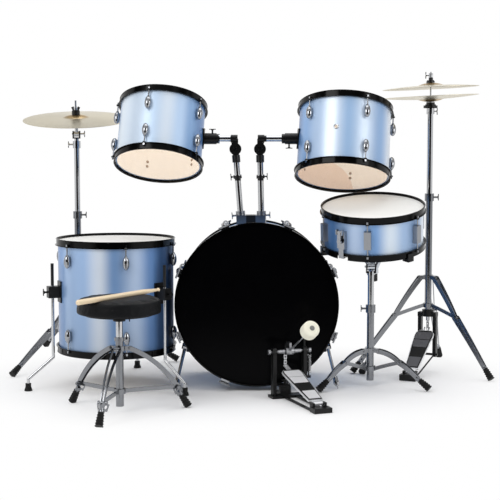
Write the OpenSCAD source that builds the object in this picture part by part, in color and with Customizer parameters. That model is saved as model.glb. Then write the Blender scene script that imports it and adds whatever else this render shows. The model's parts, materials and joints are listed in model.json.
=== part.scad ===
// Acoustic drum kit: bass drum, two mounted toms, floor tom, snare drum, hi-hat, crash cymbal,
// throne, bass drum pedal and a pair of sticks. Millimetres, +Z up, audience side towards -Y.
// The origin lies on the floor in the middle of the kit's footprint.

/* [Bass drum] */
// Outside diameter of the bass drum shell
bass_d = 558; // [500:1:620]
// Depth of the bass drum shell
bass_depth = 352; // [300:1:460]
// Width of a bass drum hoop along the drum
bass_hoop_h = 38; // [30:1:50]
// Height of the front hoop above the floor
bass_raise = 14; // [6:1:30]
// Tension lugs on each side of the bass drum
bass_lugs_n = 8; // [6:1:10]
// Distance from the front hoop to the spur brackets
spur_back = 125; // [90:1:180]
// Sideways distance from the drum axis to a spur tip
spur_reach = 285; // [260:1:330]

/* [Mounted toms] */
// Shell diameter of the left tom
left_tom_d = 305; // [254:1:330]
// Shell depth of the left tom
left_tom_depth = 228; // [180:1:260]
// Shell diameter of the right tom
right_tom_d = 330; // [280:1:356]
// Shell depth of the right tom
right_tom_depth = 252; // [180:1:280]
// Lean of the left tom's top towards the player
left_tom_tilt = 24; // [10:1:35]
// Lean of the right tom's top towards the player
right_tom_tilt = 20; // [10:1:35]
// Sideways lean of the toms
tom_lean = 3.8; // [0:0.1:8]
// Tension lugs on each head of a mounted tom
tom_lugs_n = 5; // [4:1:6]

/* [Tom holder] */
// Diameter of the tom posts and arms
holder_tube_d = 22.2; // [19:0.1:25.4]
// Outward lean of the left tom post
left_post_lean = 4.5; // [0:0.1:8]
// Outward lean of the right tom post
right_post_lean = -1.3; // [-4:0.1:8]
// Distance between the tom posts at the base
post_spacing = 76; // [64:1:100]
// Height of the tilter axis above the top of the bass drum shell
tilter_rise = 264; // [220:1:290]
// Diameter of the toothed tilter disc
tilter_disc_d = 43; // [36:1:50]

/* [Floor tom] */
// Shell diameter of the floor tom
floor_tom_d = 406; // [380:1:430]
// Shell depth of the floor tom
floor_tom_depth = 382; // [330:1:420]
// Height of the floor tom's batter head above the floor
floor_tom_top = 516; // [480:1:560]
// Tension lugs on each head of the floor tom
floor_tom_lugs_n = 6; // [6:1:8]
// Distance from the drum axis to a foot of the floor tom
floor_tom_foot_r = 320; // [290:1:350]
// Diameter of the floor tom legs
leg_rod_d = 11; // [9:0.1:12.7]

/* [Snare drum] */
// Shell diameter of the snare drum
snare_d = 352; // [330:1:360]
// Shell depth of the snare drum
snare_depth = 136; // [100:1:150]
// Height of the middle of the snare batter head
snare_top = 634; // [600:1:650]
// Tilt of the snare drum towards the audience side
snare_tilt = 11.5; // [0:0.1:16]
// Tension lugs around the snare drum
snare_lugs_n = 6; // [6:1:8]

/* [Drum hardware] */
// Wall of the wooden shells
shell_wall = 7; // [5:0.1:10]
// Height of a tom or snare hoop
hoop_h = 24; // [20:1:30]
// Thickness of a drum head
head_t = 1; // [0.6:0.1:1.5]
// Diameter of a tension rod
rod_d = 5; // [4:0.1:6]
// Height of an oval lug casing
lug_h = 48; // [40:1:56]
// Width of an oval lug casing
lug_w = 24; // [22:0.5:28]

/* [Cymbals] */
// Diameter of the crash cymbal
crash_d = 406; // [356:1:430]
// Diameter of the hi-hat cymbals
hat_d = 356; // [330:1:380]
// Thickness of a cymbal
cymbal_t = 1.2; // [0.8:0.1:2]
// Height of the middle of the crash cymbal
crash_z = 944; // [900:1:1000]
// Tilt of the crash cymbal towards the audience side
crash_tilt = 9.8; // [0:0.1:15]
// Height of the edge of the bottom hi-hat cymbal
hat_z = 1028; // [980:1:1060]
// Gap between the edges of the hi-hat cymbals
hat_gap = 30; // [20:1:50]
// Sideways tilt of the hi-hat cymbals
hat_tilt = 2.8; // [0:0.1:5]

/* [Stands] */
// Diameter of the lower tube of the stands
base_tube_d = 25.4; // [24:0.1:30]
// Diameter of the sliding tube of the stands
slide_tube_d = 21.8; // [19:0.1:22]
// Wall of the stand tubes
tube_wall = 1.5; // [1.2:0.1:1.6]
// Diameter of the cymbal rod
rod_tip_d = 8; // [6:0.1:8]
// Diameter of the hi-hat pull rod
pull_rod_d = 6; // [5:0.1:8]
// Width of a leg strap
strap_w = 15; // [12:0.5:18]
// Thickness of a leg strap
strap_t = 2.5; // [2:0.1:4]
// Gap between the two straps of a leg
strap_gap = 13; // [12:0.5:18]

/* [Throne] */
// Diameter of the seat cushion
seat_d = 271; // [250:1:330]
// Thickness of the seat cushion
seat_t = 48; // [40:1:70]
// Height of the top of the seat
seat_top = 370; // [340:1:420]
// Length of a drumstick
stick_l = 404; // [380:1:420]

/* [Pedal] */
// Distance between the pedal posts
pedal_post_gap = 112; // [95:1:130]
// Height of the pedal axle
pedal_axle_z = 156; // [140:1:170]
// Length from the heel hinge to the axle, seen from above
pedal_reach = 240; // [220:1:260]
// Distance from the axle to the middle of the beater head
beater_l = 198; // [170:1:215]
// Lean of the resting beater towards the heel
beater_lean = 61; // [40:1:65]

/* [Layout] */
// Sideways place of the bass drum
bass_x = 23; // [0:1:40]
// Place of the front face of the bass drum, towards the audience
bass_front_y = -140; // [-160:1:-120]
// Sideways place of the tom holder
holder_x = 3; // [-6:1:24]
// Sideways place of the left tom
left_tom_x = -321; // [-328:1:-312]
// Height of the middle of the left tom
left_tom_z = 887; // [880:1:895]
// Sideways place of the right tom
right_tom_x = 339; // [330:1:345]
// Height of the middle of the right tom
right_tom_z = 859; // [850:1:872]
// Place of the floor tom
floor_tom_at = [-475, -30]; // [-500:1:0]
// Place of the snare stand
snare_at = [426, -60]; // [-80:1:450]
// Place of the hi-hat stand
hat_at = [670, 237]; // [220:1:700]
// Place of the crash stand
crash_at = [-670, 425]; // [-700:1:450]
// Place of the throne
throne_at = [-418, -492]; // [-520:1:-400]
// Place of the middle of the pedal axle
pedal_at = [133, -247]; // [-260:1:150]
// Turn of the pedal about the vertical
pedal_yaw = 21; // [0:1:30]
// Turn of the hi-hat footboard about the vertical
hat_yaw = -25.6; // [-35:0.1:-15]
// Shift of the whole kit that puts the origin in the middle of its footprint
kit_shift = [0.4, -23.4]; // [-40:0.1:40]

/* [Hidden] */
$fn = 64;

// Clearance round a part that slides or turns
fit = 0.3;
// Colours
shell_blue = "lightskyblue";
hoop_black = [0.06, 0.06, 0.07];
chrome = "silver";
skin_white = "whitesmoke";
rubber_black = [0.1, 0.1, 0.1];
cymbal_gold = "wheat";
maple = "burlywood";

// Cross-section of heads and hoops, measured outwards from the shell
head_gap = 0.4;
flesh_t = 2.8;
flesh_h = 8;
hoop_wall = 2.3;
hoop_lip = 2;
hoop_over = 10;
hoop_bead = 1.5;
flange_t = 2;
flange_w = 4;
ear_over = 0.6;
ear_top = flange_t + ear_over - (hoop_h - hoop_over);
rod_out = 10.8;
rod_head_w = 6;
rod_head_h = 7;
washer_d = 9;
washer_t = 1.5;
lug_bore = 14;
flesh_in = head_gap;
flesh_out = head_gap + flesh_t;
hoop_in = flesh_out + fit;
hoop_out = hoop_in + hoop_wall;

// ---------------------------------------------------------------- small shared pieces

// A ring with a square section, standing on z = 0
module ring(outer, inner, h) {
    difference() {
        cylinder(d = outer, h = h);
        translate([0, 0, -1])
            cylinder(d = inner, h = h + 2);
    }
}

// A cylinder along X, centred
module bar_x(d, l) {
    rotate([0, 90, 0])
        cylinder(d = d, h = l, center = true);
}

// A cylinder along Y, centred
module bar_y(d, l) {
    rotate([90, 0, 0])
        cylinder(d = d, h = l, center = true);
}

// Turns an upright piece at radius r to an angle counted from the audience side
module around(angle, r = 0) {
    rotate([0, 0, angle - 90])
        translate([r, 0, 0])
            children();
}

// A round rod between two points
module rod(p, q, d) {
    v = q - p;
    translate(p)
        rotate([0, acos(v.z / norm(v)), atan2(v.y, v.x)])
            cylinder(d = d, h = norm(v));
}

// A bolt with two wings, its shank along +X from the origin
module wing_bolt(shank, l) {
    wing_l = 11;
    rotate([0, 90, 0])
        cylinder(d = shank, h = l);
    translate([l, 0, 0]) {
        rotate([0, 90, 0])
            cylinder(d = shank * 1.6, h = 5);
        for (s = [-1, 1])
            translate([4, 0, s * wing_l * 0.6])
                cube([3, 4, wing_l], center = true);
    }
}

// ---------------------------------------------------------------- drums

// Shell of a drum, centred on the origin, axis along Z
module drum_shell(d, depth) {
    translate([0, 0, -depth / 2])
        ring(d, d - 2 * shell_wall, depth);
}

// Runs its children at both ends of a drum, with z = 0 at the bearing edge and +Z outwards
module both_ends(depth) {
    for (m = [0, 1])
        mirror([0, 0, m])
            translate([0, 0, depth / 2])
                children();
}

// Drum head: the film with its flesh ring
module drum_head(d) {
    r = d / 2;
    rotate_extrude()
        polygon([
            [0, 0], [r + flesh_in, 0], [r + flesh_in, -flesh_h],
            [r + flesh_out, -flesh_h], [r + flesh_out, head_t], [0, head_t]
        ]);
}

// Flanged hoop with an ear at each tension rod
module flanged_hoop(d, n, a0) {
    r = d / 2;
    drop = hoop_h - hoop_over;
    ear_d = 13;
    difference() {
        union() {
            rotate_extrude()
                polygon([
                    [r + hoop_in, -drop],
                    [r + hoop_out + flange_w, -drop],
                    [r + hoop_out + flange_w, flange_t - drop],
                    [r + hoop_out, flange_t - drop],
                    [r + hoop_out, hoop_over - 2 * hoop_bead],
                    [r + hoop_out + hoop_bead, hoop_over - hoop_bead],
                    [r + hoop_out, hoop_over],
                    [r + hoop_in, hoop_over],
                    [r + hoop_in, head_t + flange_t],
                    [r + hoop_in - hoop_lip, head_t + flange_t],
                    [r + hoop_in - hoop_lip, head_t],
                    [r + hoop_in, head_t]
                ]);
            for (k = [0 : n - 1])
                around(a0 + k * 360 / n, r + rod_out)
                    translate([0, 0, -drop - ear_over])
                        cylinder(d = ear_d, h = flange_t + 2 * ear_over);
        }
        for (k = [0 : n - 1])
            around(a0 + k * 360 / n, r + rod_out)
                translate([0, 0, -drop - 2 * ear_over])
                    cylinder(d = rod_d + 2 * fit, h = flange_t + 4 * ear_over);
    }
}

// Oval lug casing at distance out from the shell, with a bore for the rod in its upper end
module oval_lug(d, out, w = lug_w, h = lug_h) {
    r = d / 2;
    foot = 2;
    difference() {
        union() {
            translate([r + out, 0, 0])
                rotate_extrude()
                    polygon(concat(
                        [[0, -h / 2]],
                        [for (a = [-67.5 : 22.5 : 67.5]) [w / 2 * cos(a), h / 2 * sin(a)]],
                        [[rod_d, h / 2 * sin(67.5) + 1], [rod_d, h / 2], [0, h / 2]]
                    ));
            translate([r - foot, -w / 4, -h / 3])
                cube([out + foot, w / 2, h * 2 / 3]);
        }
        cylinder(d = d, h = 2 * h, center = true);
        translate([r + out, 0, h / 2 - lug_bore])
            cylinder(d = rod_d + 2 * fit, h = lug_bore + 1);
    }
}

// Tension rod from its head on a hoop flange at z = 0 down to z = -l
module tension_rod(l) {
    translate([0, 0, -l])
        cylinder(d = rod_d, h = l + 1);
    cylinder(d = washer_d, h = washer_t);
    translate([0, 0, washer_t + rod_head_h / 2])
        cube([rod_head_w, rod_head_w, rod_head_h], center = true);
}

// One row of oval lugs and their rods below a bearing edge at z = 0
module lug_row(d, n, a0, lug_down) {
    lug_end = lug_h / 2 - lug_down;
    for (k = [0 : n - 1])
        around(a0 + k * 360 / n) {
            translate([0, 0, -lug_down])
                oval_lug(d, rod_out);
            translate([d / 2 + rod_out, 0, ear_top])
                tension_rod(ear_top - lug_end + lug_bore - fit);
        }
}

// ---------------------------------------------------------------- bass drum

bass_hoop_wall = 3.3;
bass_hoop_over = 12;
bass_hoop_out = bass_d / 2 + hoop_in + bass_hoop_wall;
bass_half = bass_depth / 2 + bass_hoop_over;
bass_pitch = asin(bass_raise / (2 * bass_half));
bass_z = bass_hoop_out * cos(bass_pitch) + bass_half * sin(bass_pitch);
bass_rod_out = hoop_in + bass_hoop_wall + 8.5;
bass_lug_down = 72;
bass_y = bass_front_y + bass_half * cos(bass_pitch);
claw_w = 30;
claw_t = 3.5;
claw_boss_d = 13;

// Puts a piece in the bass drum's frame: +Z towards the audience, +Y up
module at_bass() {
    translate([bass_x + kit_shift.x, bass_y + kit_shift.y, bass_z])
        rotate([90 - bass_pitch, 0, 0])
            children();
}

module bass_shell() {
    color(shell_blue)
        difference() {
            at_bass()
                drum_shell(bass_d, bass_depth);
            for (s = [-1, 1])
                at_post(s)
                    translate([0, 0, -post_hole_l])
                        cylinder(d = holder_tube_d + 2 * fit + 1, h = post_hole_l);
        }
}

module bass_hoops() {
    r = bass_d / 2;
    color(hoop_black)
        at_bass()
            both_ends(bass_depth)
                rotate_extrude()
                    polygon([
                        [r + hoop_in, bass_hoop_over - bass_hoop_h],
                        [bass_hoop_out, bass_hoop_over - bass_hoop_h],
                        [bass_hoop_out, bass_hoop_over],
                        [r + hoop_in - hoop_lip, bass_hoop_over],
                        [r + hoop_in - hoop_lip, head_t],
                        [r + hoop_in, head_t]
                    ]);
}

module bass_heads() {
    color(hoop_black)
        at_bass()
            both_ends(bass_depth)
                drum_head(bass_d);
}

// Runs its children at each bass lug position, with +X outwards
module bass_rods() {
    for (k = [0 : bass_lugs_n - 1])
        rotate([0, 0, 90 + (k + 0.5) * 360 / bass_lugs_n])
            children();
}

module bass_lugs() {
    color(chrome)
        at_bass()
            both_ends(bass_depth)
                bass_rods()
                    translate([0, 0, -bass_lug_down])
                        oval_lug(bass_d, bass_rod_out);
}

// Claw hook over the hoop with its tee-handled rod
module bass_claw() {
    r = bass_d / 2;
    rod_r = r + bass_rod_out;
    tee_l = 40;
    tee_d = 6.5;
    tee_z = bass_hoop_over + claw_t + 12;
    hook_in = bass_hoop_out + fit;
    difference() {
        union() {
            translate([r + hoop_in, -claw_w / 2, bass_hoop_over])
                cube([bass_rod_out - hoop_in, claw_w, claw_t]);
            translate([hook_in, -claw_w / 2, bass_hoop_over - 24])
                cube([2.5, claw_w, 24]);
            translate([rod_r, 0, bass_hoop_over - 8])
                cylinder(d = claw_boss_d, h = 8 + claw_t);
        }
        translate([rod_r, 0, bass_hoop_over - 9])
            cylinder(d = rod_d + 2 * fit, h = 30);
    }
    lug_end = lug_h / 2 - bass_lug_down;
    translate([rod_r, 0, lug_end - lug_bore + fit])
        cylinder(d = rod_d, h = tee_z - lug_end + lug_bore - fit);
    translate([rod_r, 0, bass_hoop_over + claw_t])
        cylinder(d = washer_d, h = washer_t);
    translate([rod_r, 0, tee_z])
        bar_y(tee_d, tee_l);
}

module bass_claws() {
    color(chrome)
        at_bass()
            both_ends(bass_depth)
                bass_rods()
                    bass_claw();
}

// Spurs: each hangs on a hub beside the shell and swings about a pivot across the drum
spur_d = 12;
spur_hub_d = 30;
spur_hub_t = 14;
spur_pin_d = 8;
spur_side = 58;
spur_hub_r = bass_d / 2 + 21;
spur_hub = [spur_hub_r * sin(spur_side), bass_front_y + spur_back, bass_z - spur_hub_r * cos(spur_side)];
spur_tip = [spur_reach, bass_front_y + 19, 0];
spur_run = spur_tip - spur_hub;
spur_l = norm(spur_run);
spur_pivot_lean = atan2(-spur_run.z, spur_run.x);
spur_down = acos(-spur_run.y / spur_l);

// Puts a piece in a spur's frame: origin at its hub, +Z along the pivot outwards, +Y towards its tip
module at_spur(side) {
    translate([bass_x + kit_shift.x, kit_shift.y, 0])
        mirror([side < 0 ? 1 : 0, 0, 0])
            translate(spur_hub)
                rotate([0, spur_pivot_lean, 0])
                    rotate([0, 0, 180 + spur_down])
                        children();
}

module spur_leg() {
    tip_l = 34;
    spike_l = 14;
    rubber_d = 22;
    difference() {
        translate([0, 0, -spur_hub_t / 2])
            cylinder(d = spur_hub_d, h = spur_hub_t);
        cylinder(d = spur_pin_d + 2 * fit, h = 2 * spur_hub_t, center = true);
    }
    translate([0, spur_hub_d / 2 - 2, 0])
        rotate([-90, 0, 0])
            cylinder(d = spur_d, h = spur_l - spike_l - tip_l - spur_hub_d / 2 + 4);
    translate([0, spur_l - spike_l - tip_l, 0])
        rotate([-90, 0, 0])
            rotate_extrude()
                polygon([
                    [0, 0], [spur_d / 2 + 2, 0], [rubber_d / 2, tip_l - 8], [rubber_d / 2 - 4, tip_l],
                    [3, tip_l], [1, tip_l + spike_l - 1], [0, tip_l + spike_l - 1]
                ]);
}

module spur_left() {
    color(chrome)
        at_spur(-1)
            spur_leg();
}

module spur_right() {
    color(chrome)
        at_spur(1)
            spur_leg();
}

module bass_spur_brackets() {
    bracket_d = 36;
    bracket_l = 60;
    head_h = 4;
    color(hoop_black)
        for (side = [-1, 1]) {
            difference() {
                at_spur(side)
                    translate([0, 0, -spur_hub_t / 2 - fit - bracket_l])
                        cylinder(d = bracket_d, h = bracket_l);
                at_bass()
                    cylinder(d = bass_d, h = bass_depth, center = true);
            }
            at_spur(side) {
                translate([0, 0, -spur_hub_t / 2 - fit - 1])
                    cylinder(d = spur_pin_d, h = spur_hub_t + 2 * fit + 2);
                translate([0, 0, spur_hub_t / 2 + fit])
                    cylinder(d = spur_hub_d - 8, h = head_h);
            }
        }
}

// ---------------------------------------------------------------- tom holder

holder_y = 90;
holder_top = bass_z + bass_d / 2 + 40;
tilter_z = bass_z + bass_d / 2 + tilter_rise;
post_socket_d = 34;
arm_rise = 37;
arm_z = tilter_z + arm_rise;
jaw_t = 12;
tilter_bolt_d = 8;
post_in = 90;
post_hole_l = post_in + 110;

// Lean and foot of a post: side -1 is the left one, 1 the right one
function post_lean(side) = side < 0 ? -left_post_lean : right_post_lean;
function post_x(side) = holder_x + side * post_spacing / 2;

// Puts a piece on a post's axis, z = 0 at the top of its socket
module at_post(side) {
    translate([post_x(side) + kit_shift.x, holder_y + kit_shift.y, holder_top])
        rotate([0, post_lean(side), 0])
            children();
}

// Distance along a post from its socket to the tilter axis
function post_run(side) = (tilter_z - holder_top) / cos(post_lean(side));

// Puts a piece at a tilter's axis, unturned
module at_tilter(side) {
    translate([
        post_x(side) + (tilter_z - holder_top) * tan(post_lean(side)) + kit_shift.x,
        holder_y + kit_shift.y,
        tilter_z
    ])
        children();
}

module tom_holder_base() {
    base_w = 104;
    base_l = 56;
    color(chrome)
        difference() {
            union() {
                translate([holder_x + kit_shift.x, holder_y + kit_shift.y, holder_top - 36])
                    cube([base_w, base_l, 44], center = true);
                for (s = [-1, 1])
                    at_post(s)
                        translate([0, 0, -60])
                            cylinder(d = post_socket_d, h = 60);
                for (s = [-1, 1])
                    at_post(s)
                        translate([s * (post_socket_d / 2 - 2), 0, -15])
                            mirror([s < 0 ? 1 : 0, 0, 0])
                                wing_bolt(7, 12);
            }
            at_bass()
                cylinder(d = bass_d, h = bass_depth, center = true);
            for (s = [-1, 1])
                at_post(s)
                    translate([0, 0, -80])
                        cylinder(d = holder_tube_d + 2 * fit, h = 82);
        }
}

// Post with its memory collar and the lower half of the tilter
module tom_post(side) {
    collar_at = 118;
    collar_h = 14;
    sleeve_h = 26;
    sleeve_at = post_run(side) - tilter_disc_d / 2 - sleeve_h - fit;
    at_post(side) {
        translate([0, 0, -post_in])
            ring(holder_tube_d, holder_tube_d - 4, post_in + sleeve_at + 2);
        translate([0, 0, collar_at])
            ring(holder_tube_d + 8, holder_tube_d - 1, collar_h);
        translate([side * (holder_tube_d / 2 + 3), 0, collar_at + collar_h / 2])
            mirror([side < 0 ? 1 : 0, 0, 0])
                wing_bolt(5, 6);
        translate([0, 0, sleeve_at])
            cylinder(d = holder_tube_d + 7, h = sleeve_h);
    }
    difference() {
        union() {
            at_tilter(side)
                translate([0, fit + jaw_t / 2, 0])
                    bar_y(tilter_disc_d, jaw_t);
            at_post(side)
                translate([-holder_tube_d / 2, fit + 0.5, sleeve_at + sleeve_h - 1])
                    cube([holder_tube_d, jaw_t - 1, tilter_disc_d / 2 + 3]);
        }
        at_tilter(side)
            bar_y(tilter_bolt_d + 2 * fit, 4 * jaw_t);
    }
}

module tom_post_left() {
    color(chrome)
        tom_post(-1);
}

module tom_post_right() {
    color(chrome)
        tom_post(1);
}

// Arm: upper half of the tilter with its bolt, the arm tube and the lock collar beside the tom bracket
arm_start = 4;
bracket_l = 46;
bracket_d = 40;
lock_w = 11;

function tom_d(side) = side < 0 ? left_tom_d : right_tom_d;
function tom_x(side) = side < 0 ? left_tom_x : right_tom_x;
function tom_z(side) = side < 0 ? left_tom_z : right_tom_z;
function tom_tilt(side) = side < 0 ? left_tom_tilt : right_tom_tilt;
function tilter_x(side) = post_x(side) + (tilter_z - holder_top) * tan(post_lean(side));
// Inner end of a tom bracket, where the lock collar meets it, as a distance from the tom's axis
function bracket_end(side) = tom_d(side) / 2 + bracket_l + 2;
function arm_run(side) = abs(tom_x(side) - tilter_x(side)) - bracket_end(side);

module tom_arm(side) {
    inside = 38;
    clamp_w = 24;
    at_tilter(side)
        mirror([side > 0 ? 1 : 0, 0, 0]) {
            difference() {
                union() {
                    translate([0, -fit - jaw_t / 2, 0])
                        bar_y(tilter_disc_d, jaw_t);
                    translate([-clamp_w / 2 - 2, -fit - jaw_t, 0])
                        cube([clamp_w, jaw_t, arm_rise]);
                    translate([-arm_start, 0, arm_rise])
                        bar_x(holder_tube_d + 6, clamp_w);
                }
                translate([-arm_start, 0, arm_rise])
                    bar_x(holder_tube_d - 4, 2 * clamp_w);
            }
            translate([0, jaw_t / 2, 0])
                bar_y(tilter_bolt_d, 2 * jaw_t + jaw_t + 2);
            translate([0, -jaw_t - 3, 0])
                bar_y(tilter_bolt_d + 5, 6);
            translate([0, jaw_t + fit + 4, 0])
                bar_y(tilter_bolt_d + 6, 6);
            translate([-(arm_run(side) + inside + arm_start) / 2, 0, arm_rise])
                bar_x(holder_tube_d, arm_run(side) + inside - arm_start);
            difference() {
                translate([-arm_run(side) + lock_w / 2 + fit, 0, arm_rise])
                    bar_x(holder_tube_d + 12, lock_w);
                translate([-arm_run(side), 0, arm_rise])
                    bar_x(holder_tube_d - 2, 2 * lock_w);
            }
        }
}

module tom_arm_left() {
    color(hoop_black)
        tom_arm(-1);
}

module tom_arm_right() {
    color(hoop_black)
        tom_arm(1);
}

// ---------------------------------------------------------------- mounted toms

left_tom_a0 = -15.7;
right_tom_a0 = 21.1;
tom_lug_down = 62;
vent_d = 12;

module at_tom(side) {
    translate([tom_x(side) + kit_shift.x, holder_y + kit_shift.y, tom_z(side)])
        rotate([-tom_tilt(side), tom_lean, 0])
            children();
}

// Block on the shell that grips the arm; its bore lies on the arm's axis
module tom_bracket(side, depth) {
    plate_h = 74;
    plate_w = 44;
    plate_t = 5;
    inside = 38;
    r = tom_d(side) / 2;
    difference() {
        union() {
            translate([tom_x(side) + kit_shift.x, holder_y + kit_shift.y, arm_z])
                mirror([side > 0 ? 1 : 0, 0, 0])
                    translate([r / 2 + bracket_end(side) / 2 - 1, 0, 0])
                        bar_x(bracket_d, bracket_end(side) - r + 2);
            intersection() {
                at_tom(side)
                    cylinder(r = r + plate_t, h = plate_h, center = true);
                translate([tom_x(side) - side * r + kit_shift.x, holder_y + kit_shift.y, arm_z])
                    cube([r, plate_w, plate_h], center = true);
            }
            translate([tom_x(side) - side * (r + bracket_l * 0.72) + kit_shift.x,
                       holder_y + kit_shift.y, arm_z - side * (bracket_d / 2 - 2)])
                rotate([0, side * 90, 0])
                    wing_bolt(6, 12);
        }
        at_tom(side)
            cylinder(r = r, h = 2 * depth, center = true);
        translate([tom_x(side) - side * (bracket_end(side) - inside / 2) + kit_shift.x,
                   holder_y + kit_shift.y, arm_z])
            bar_x(holder_tube_d + 2 * fit, inside + 2 * fit + 0.1);
    }
}

module left_tom_shell() {
    color(shell_blue)
        at_tom(-1)
            difference() {
                drum_shell(left_tom_d, left_tom_depth);
                around(-150)
                    translate([left_tom_d / 2, 0, 0])
                        bar_x(vent_d, 4 * shell_wall);
            }
}

module left_tom_hoops() {
    color(hoop_black)
        at_tom(-1)
            both_ends(left_tom_depth)
                flanged_hoop(left_tom_d, tom_lugs_n, left_tom_a0);
}

module left_tom_heads() {
    color(skin_white)
        at_tom(-1)
            both_ends(left_tom_depth)
                drum_head(left_tom_d);
}

module left_tom_lugs() {
    color(chrome)
        at_tom(-1)
            both_ends(left_tom_depth)
                lug_row(left_tom_d, tom_lugs_n, left_tom_a0, tom_lug_down);
}

module left_tom_bracket() {
    color(hoop_black)
        tom_bracket(-1, left_tom_depth);
}

module right_tom_shell() {
    color(shell_blue)
        at_tom(1)
            difference() {
                drum_shell(right_tom_d, right_tom_depth);
                around(-15)
                    translate([right_tom_d / 2, 0, 0])
                        bar_x(vent_d, 4 * shell_wall);
            }
}

module right_tom_hoops() {
    color(hoop_black)
        at_tom(1)
            both_ends(right_tom_depth)
                flanged_hoop(right_tom_d, tom_lugs_n, right_tom_a0);
}

module right_tom_heads() {
    color(skin_white)
        at_tom(1)
            both_ends(right_tom_depth)
                drum_head(right_tom_d);
}

module right_tom_lugs() {
    color(chrome)
        at_tom(1)
            both_ends(right_tom_depth)
                lug_row(right_tom_d, tom_lugs_n, right_tom_a0, tom_lug_down);
}

module right_tom_bracket() {
    color(hoop_black)
        tom_bracket(1, right_tom_depth);
}

// ---------------------------------------------------------------- floor tom

floor_tom_a0 = 15;
floor_tom_leg_a0 = 52;
floor_tom_legs_n = 3;
floor_leg_out = 27;
floor_leg_r = floor_tom_d / 2 + floor_leg_out;
floor_leg_top = 442;
floor_leg_bend_z = 112;
floor_leg_low_z = 40;
floor_foot_h = 26;
floor_bracket_z = 342;
floor_tom_mid = floor_tom_top - floor_tom_depth / 2;

module at_floor_tom() {
    translate([floor_tom_at.x + kit_shift.x, floor_tom_at.y + kit_shift.y, floor_tom_mid])
        children();
}

module floor_tom_shell() {
    color(shell_blue)
        at_floor_tom()
            drum_shell(floor_tom_d, floor_tom_depth);
}

module floor_tom_hoops() {
    color(hoop_black)
        at_floor_tom()
            both_ends(floor_tom_depth)
                flanged_hoop(floor_tom_d, floor_tom_lugs_n, floor_tom_a0);
}

module floor_tom_heads() {
    color(skin_white)
        at_floor_tom()
            both_ends(floor_tom_depth)
                drum_head(floor_tom_d);
}

module floor_tom_lugs() {
    color(chrome)
        at_floor_tom()
            both_ends(floor_tom_depth)
                lug_row(floor_tom_d, floor_tom_lugs_n, floor_tom_a0, tom_lug_down);
}

// Runs its children at each leg, with +X outwards and the origin on the floor at the drum's axis
module floor_legs() {
    translate([floor_tom_at.x + kit_shift.x, floor_tom_at.y + kit_shift.y, 0])
        for (k = [0 : floor_tom_legs_n - 1])
            around(floor_tom_leg_a0 + k * 360 / floor_tom_legs_n)
                children();
}

module floor_tom_leg_brackets() {
    block_w = 34;
    block_h = 40;
    block_out = 17;
    plate_w = 44;
    plate_h = 74;
    plate_t = 4;
    color(hoop_black)
        difference() {
            floor_legs() {
                translate([floor_tom_d / 2 - 4, -block_w / 2, floor_bracket_z - block_h / 2])
                    cube([floor_leg_r + block_out - floor_tom_d / 2 + 4, block_w, block_h]);
                translate([floor_tom_d / 2 - 4, -plate_w / 2, floor_bracket_z - plate_h / 2])
                    cube([plate_t + 4, plate_w, plate_h]);
                translate([floor_leg_r + block_out - 1, 0, floor_bracket_z])
                    wing_bolt(7, 12);
            }
            translate([floor_tom_at.x + kit_shift.x, floor_tom_at.y + kit_shift.y, 0])
                cylinder(d = floor_tom_d, h = floor_tom_top);
            floor_legs()
                translate([floor_leg_r, 0, 0])
                    cylinder(d = leg_rod_d + 2 * fit, h = floor_tom_top);
        }
}

module floor_tom_legs() {
    knee = [floor_leg_r, 0, floor_leg_bend_z];
    ankle = [floor_tom_foot_r, 0, floor_leg_low_z];
    color(chrome)
        floor_legs() {
            translate(knee)
                cylinder(d = leg_rod_d, h = floor_leg_top - floor_leg_bend_z);
            translate(knee)
                sphere(d = leg_rod_d);
            rod(knee, ankle, leg_rod_d);
            translate(ankle)
                sphere(d = leg_rod_d);
            translate([floor_tom_foot_r, 0, 4])
                cylinder(d = leg_rod_d, h = floor_leg_low_z - 4);
        }
}

// ---------------------------------------------------------------- snare drum

snare_pin_d = 8;
snare_a0 = -11.3;
snare_lug_down = 37;
snare_lug_block = [16, 24, 50];
snare_strainer_a = -41;
snare_pivot_z = 425;
snare_axis_out = [12, 41];
snare_roll = -2;
snare_rise = (snare_top - snare_pivot_z - snare_axis_out.y * sin(snare_tilt)) / cos(snare_tilt);
strainer_w = 30;
strainer_h = 62;
strainer_out = 14;
lever_z = 24;

// Frame of the snare basket: origin at its tilt pivot
module at_basket() {
    translate([snare_at.x + kit_shift.x, snare_at.y + kit_shift.y, snare_pivot_z])
        rotate([snare_tilt, snare_roll, 0])
            children();
}

module at_snare() {
    at_basket()
        translate([snare_axis_out.x, snare_axis_out.y, snare_rise - snare_depth / 2])
            children();
}

module snare_shell() {
    color(shell_blue)
        at_snare()
            drum_shell(snare_d, snare_depth);
}

module snare_hoops() {
    gate_w = 44;
    color(hoop_black)
        at_snare()
            difference() {
                both_ends(snare_depth)
                    flanged_hoop(snare_d, snare_lugs_n, snare_a0);
                around(snare_strainer_a)
                    translate([-snare_d, -gate_w / 2, -snare_depth / 2 - hoop_over - 1])
                        cube([2 * snare_d, gate_w, hoop_over + 4]);
            }
}

module snare_heads() {
    color(skin_white)
        at_snare()
            both_ends(snare_depth)
                drum_head(snare_d);
}

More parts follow.
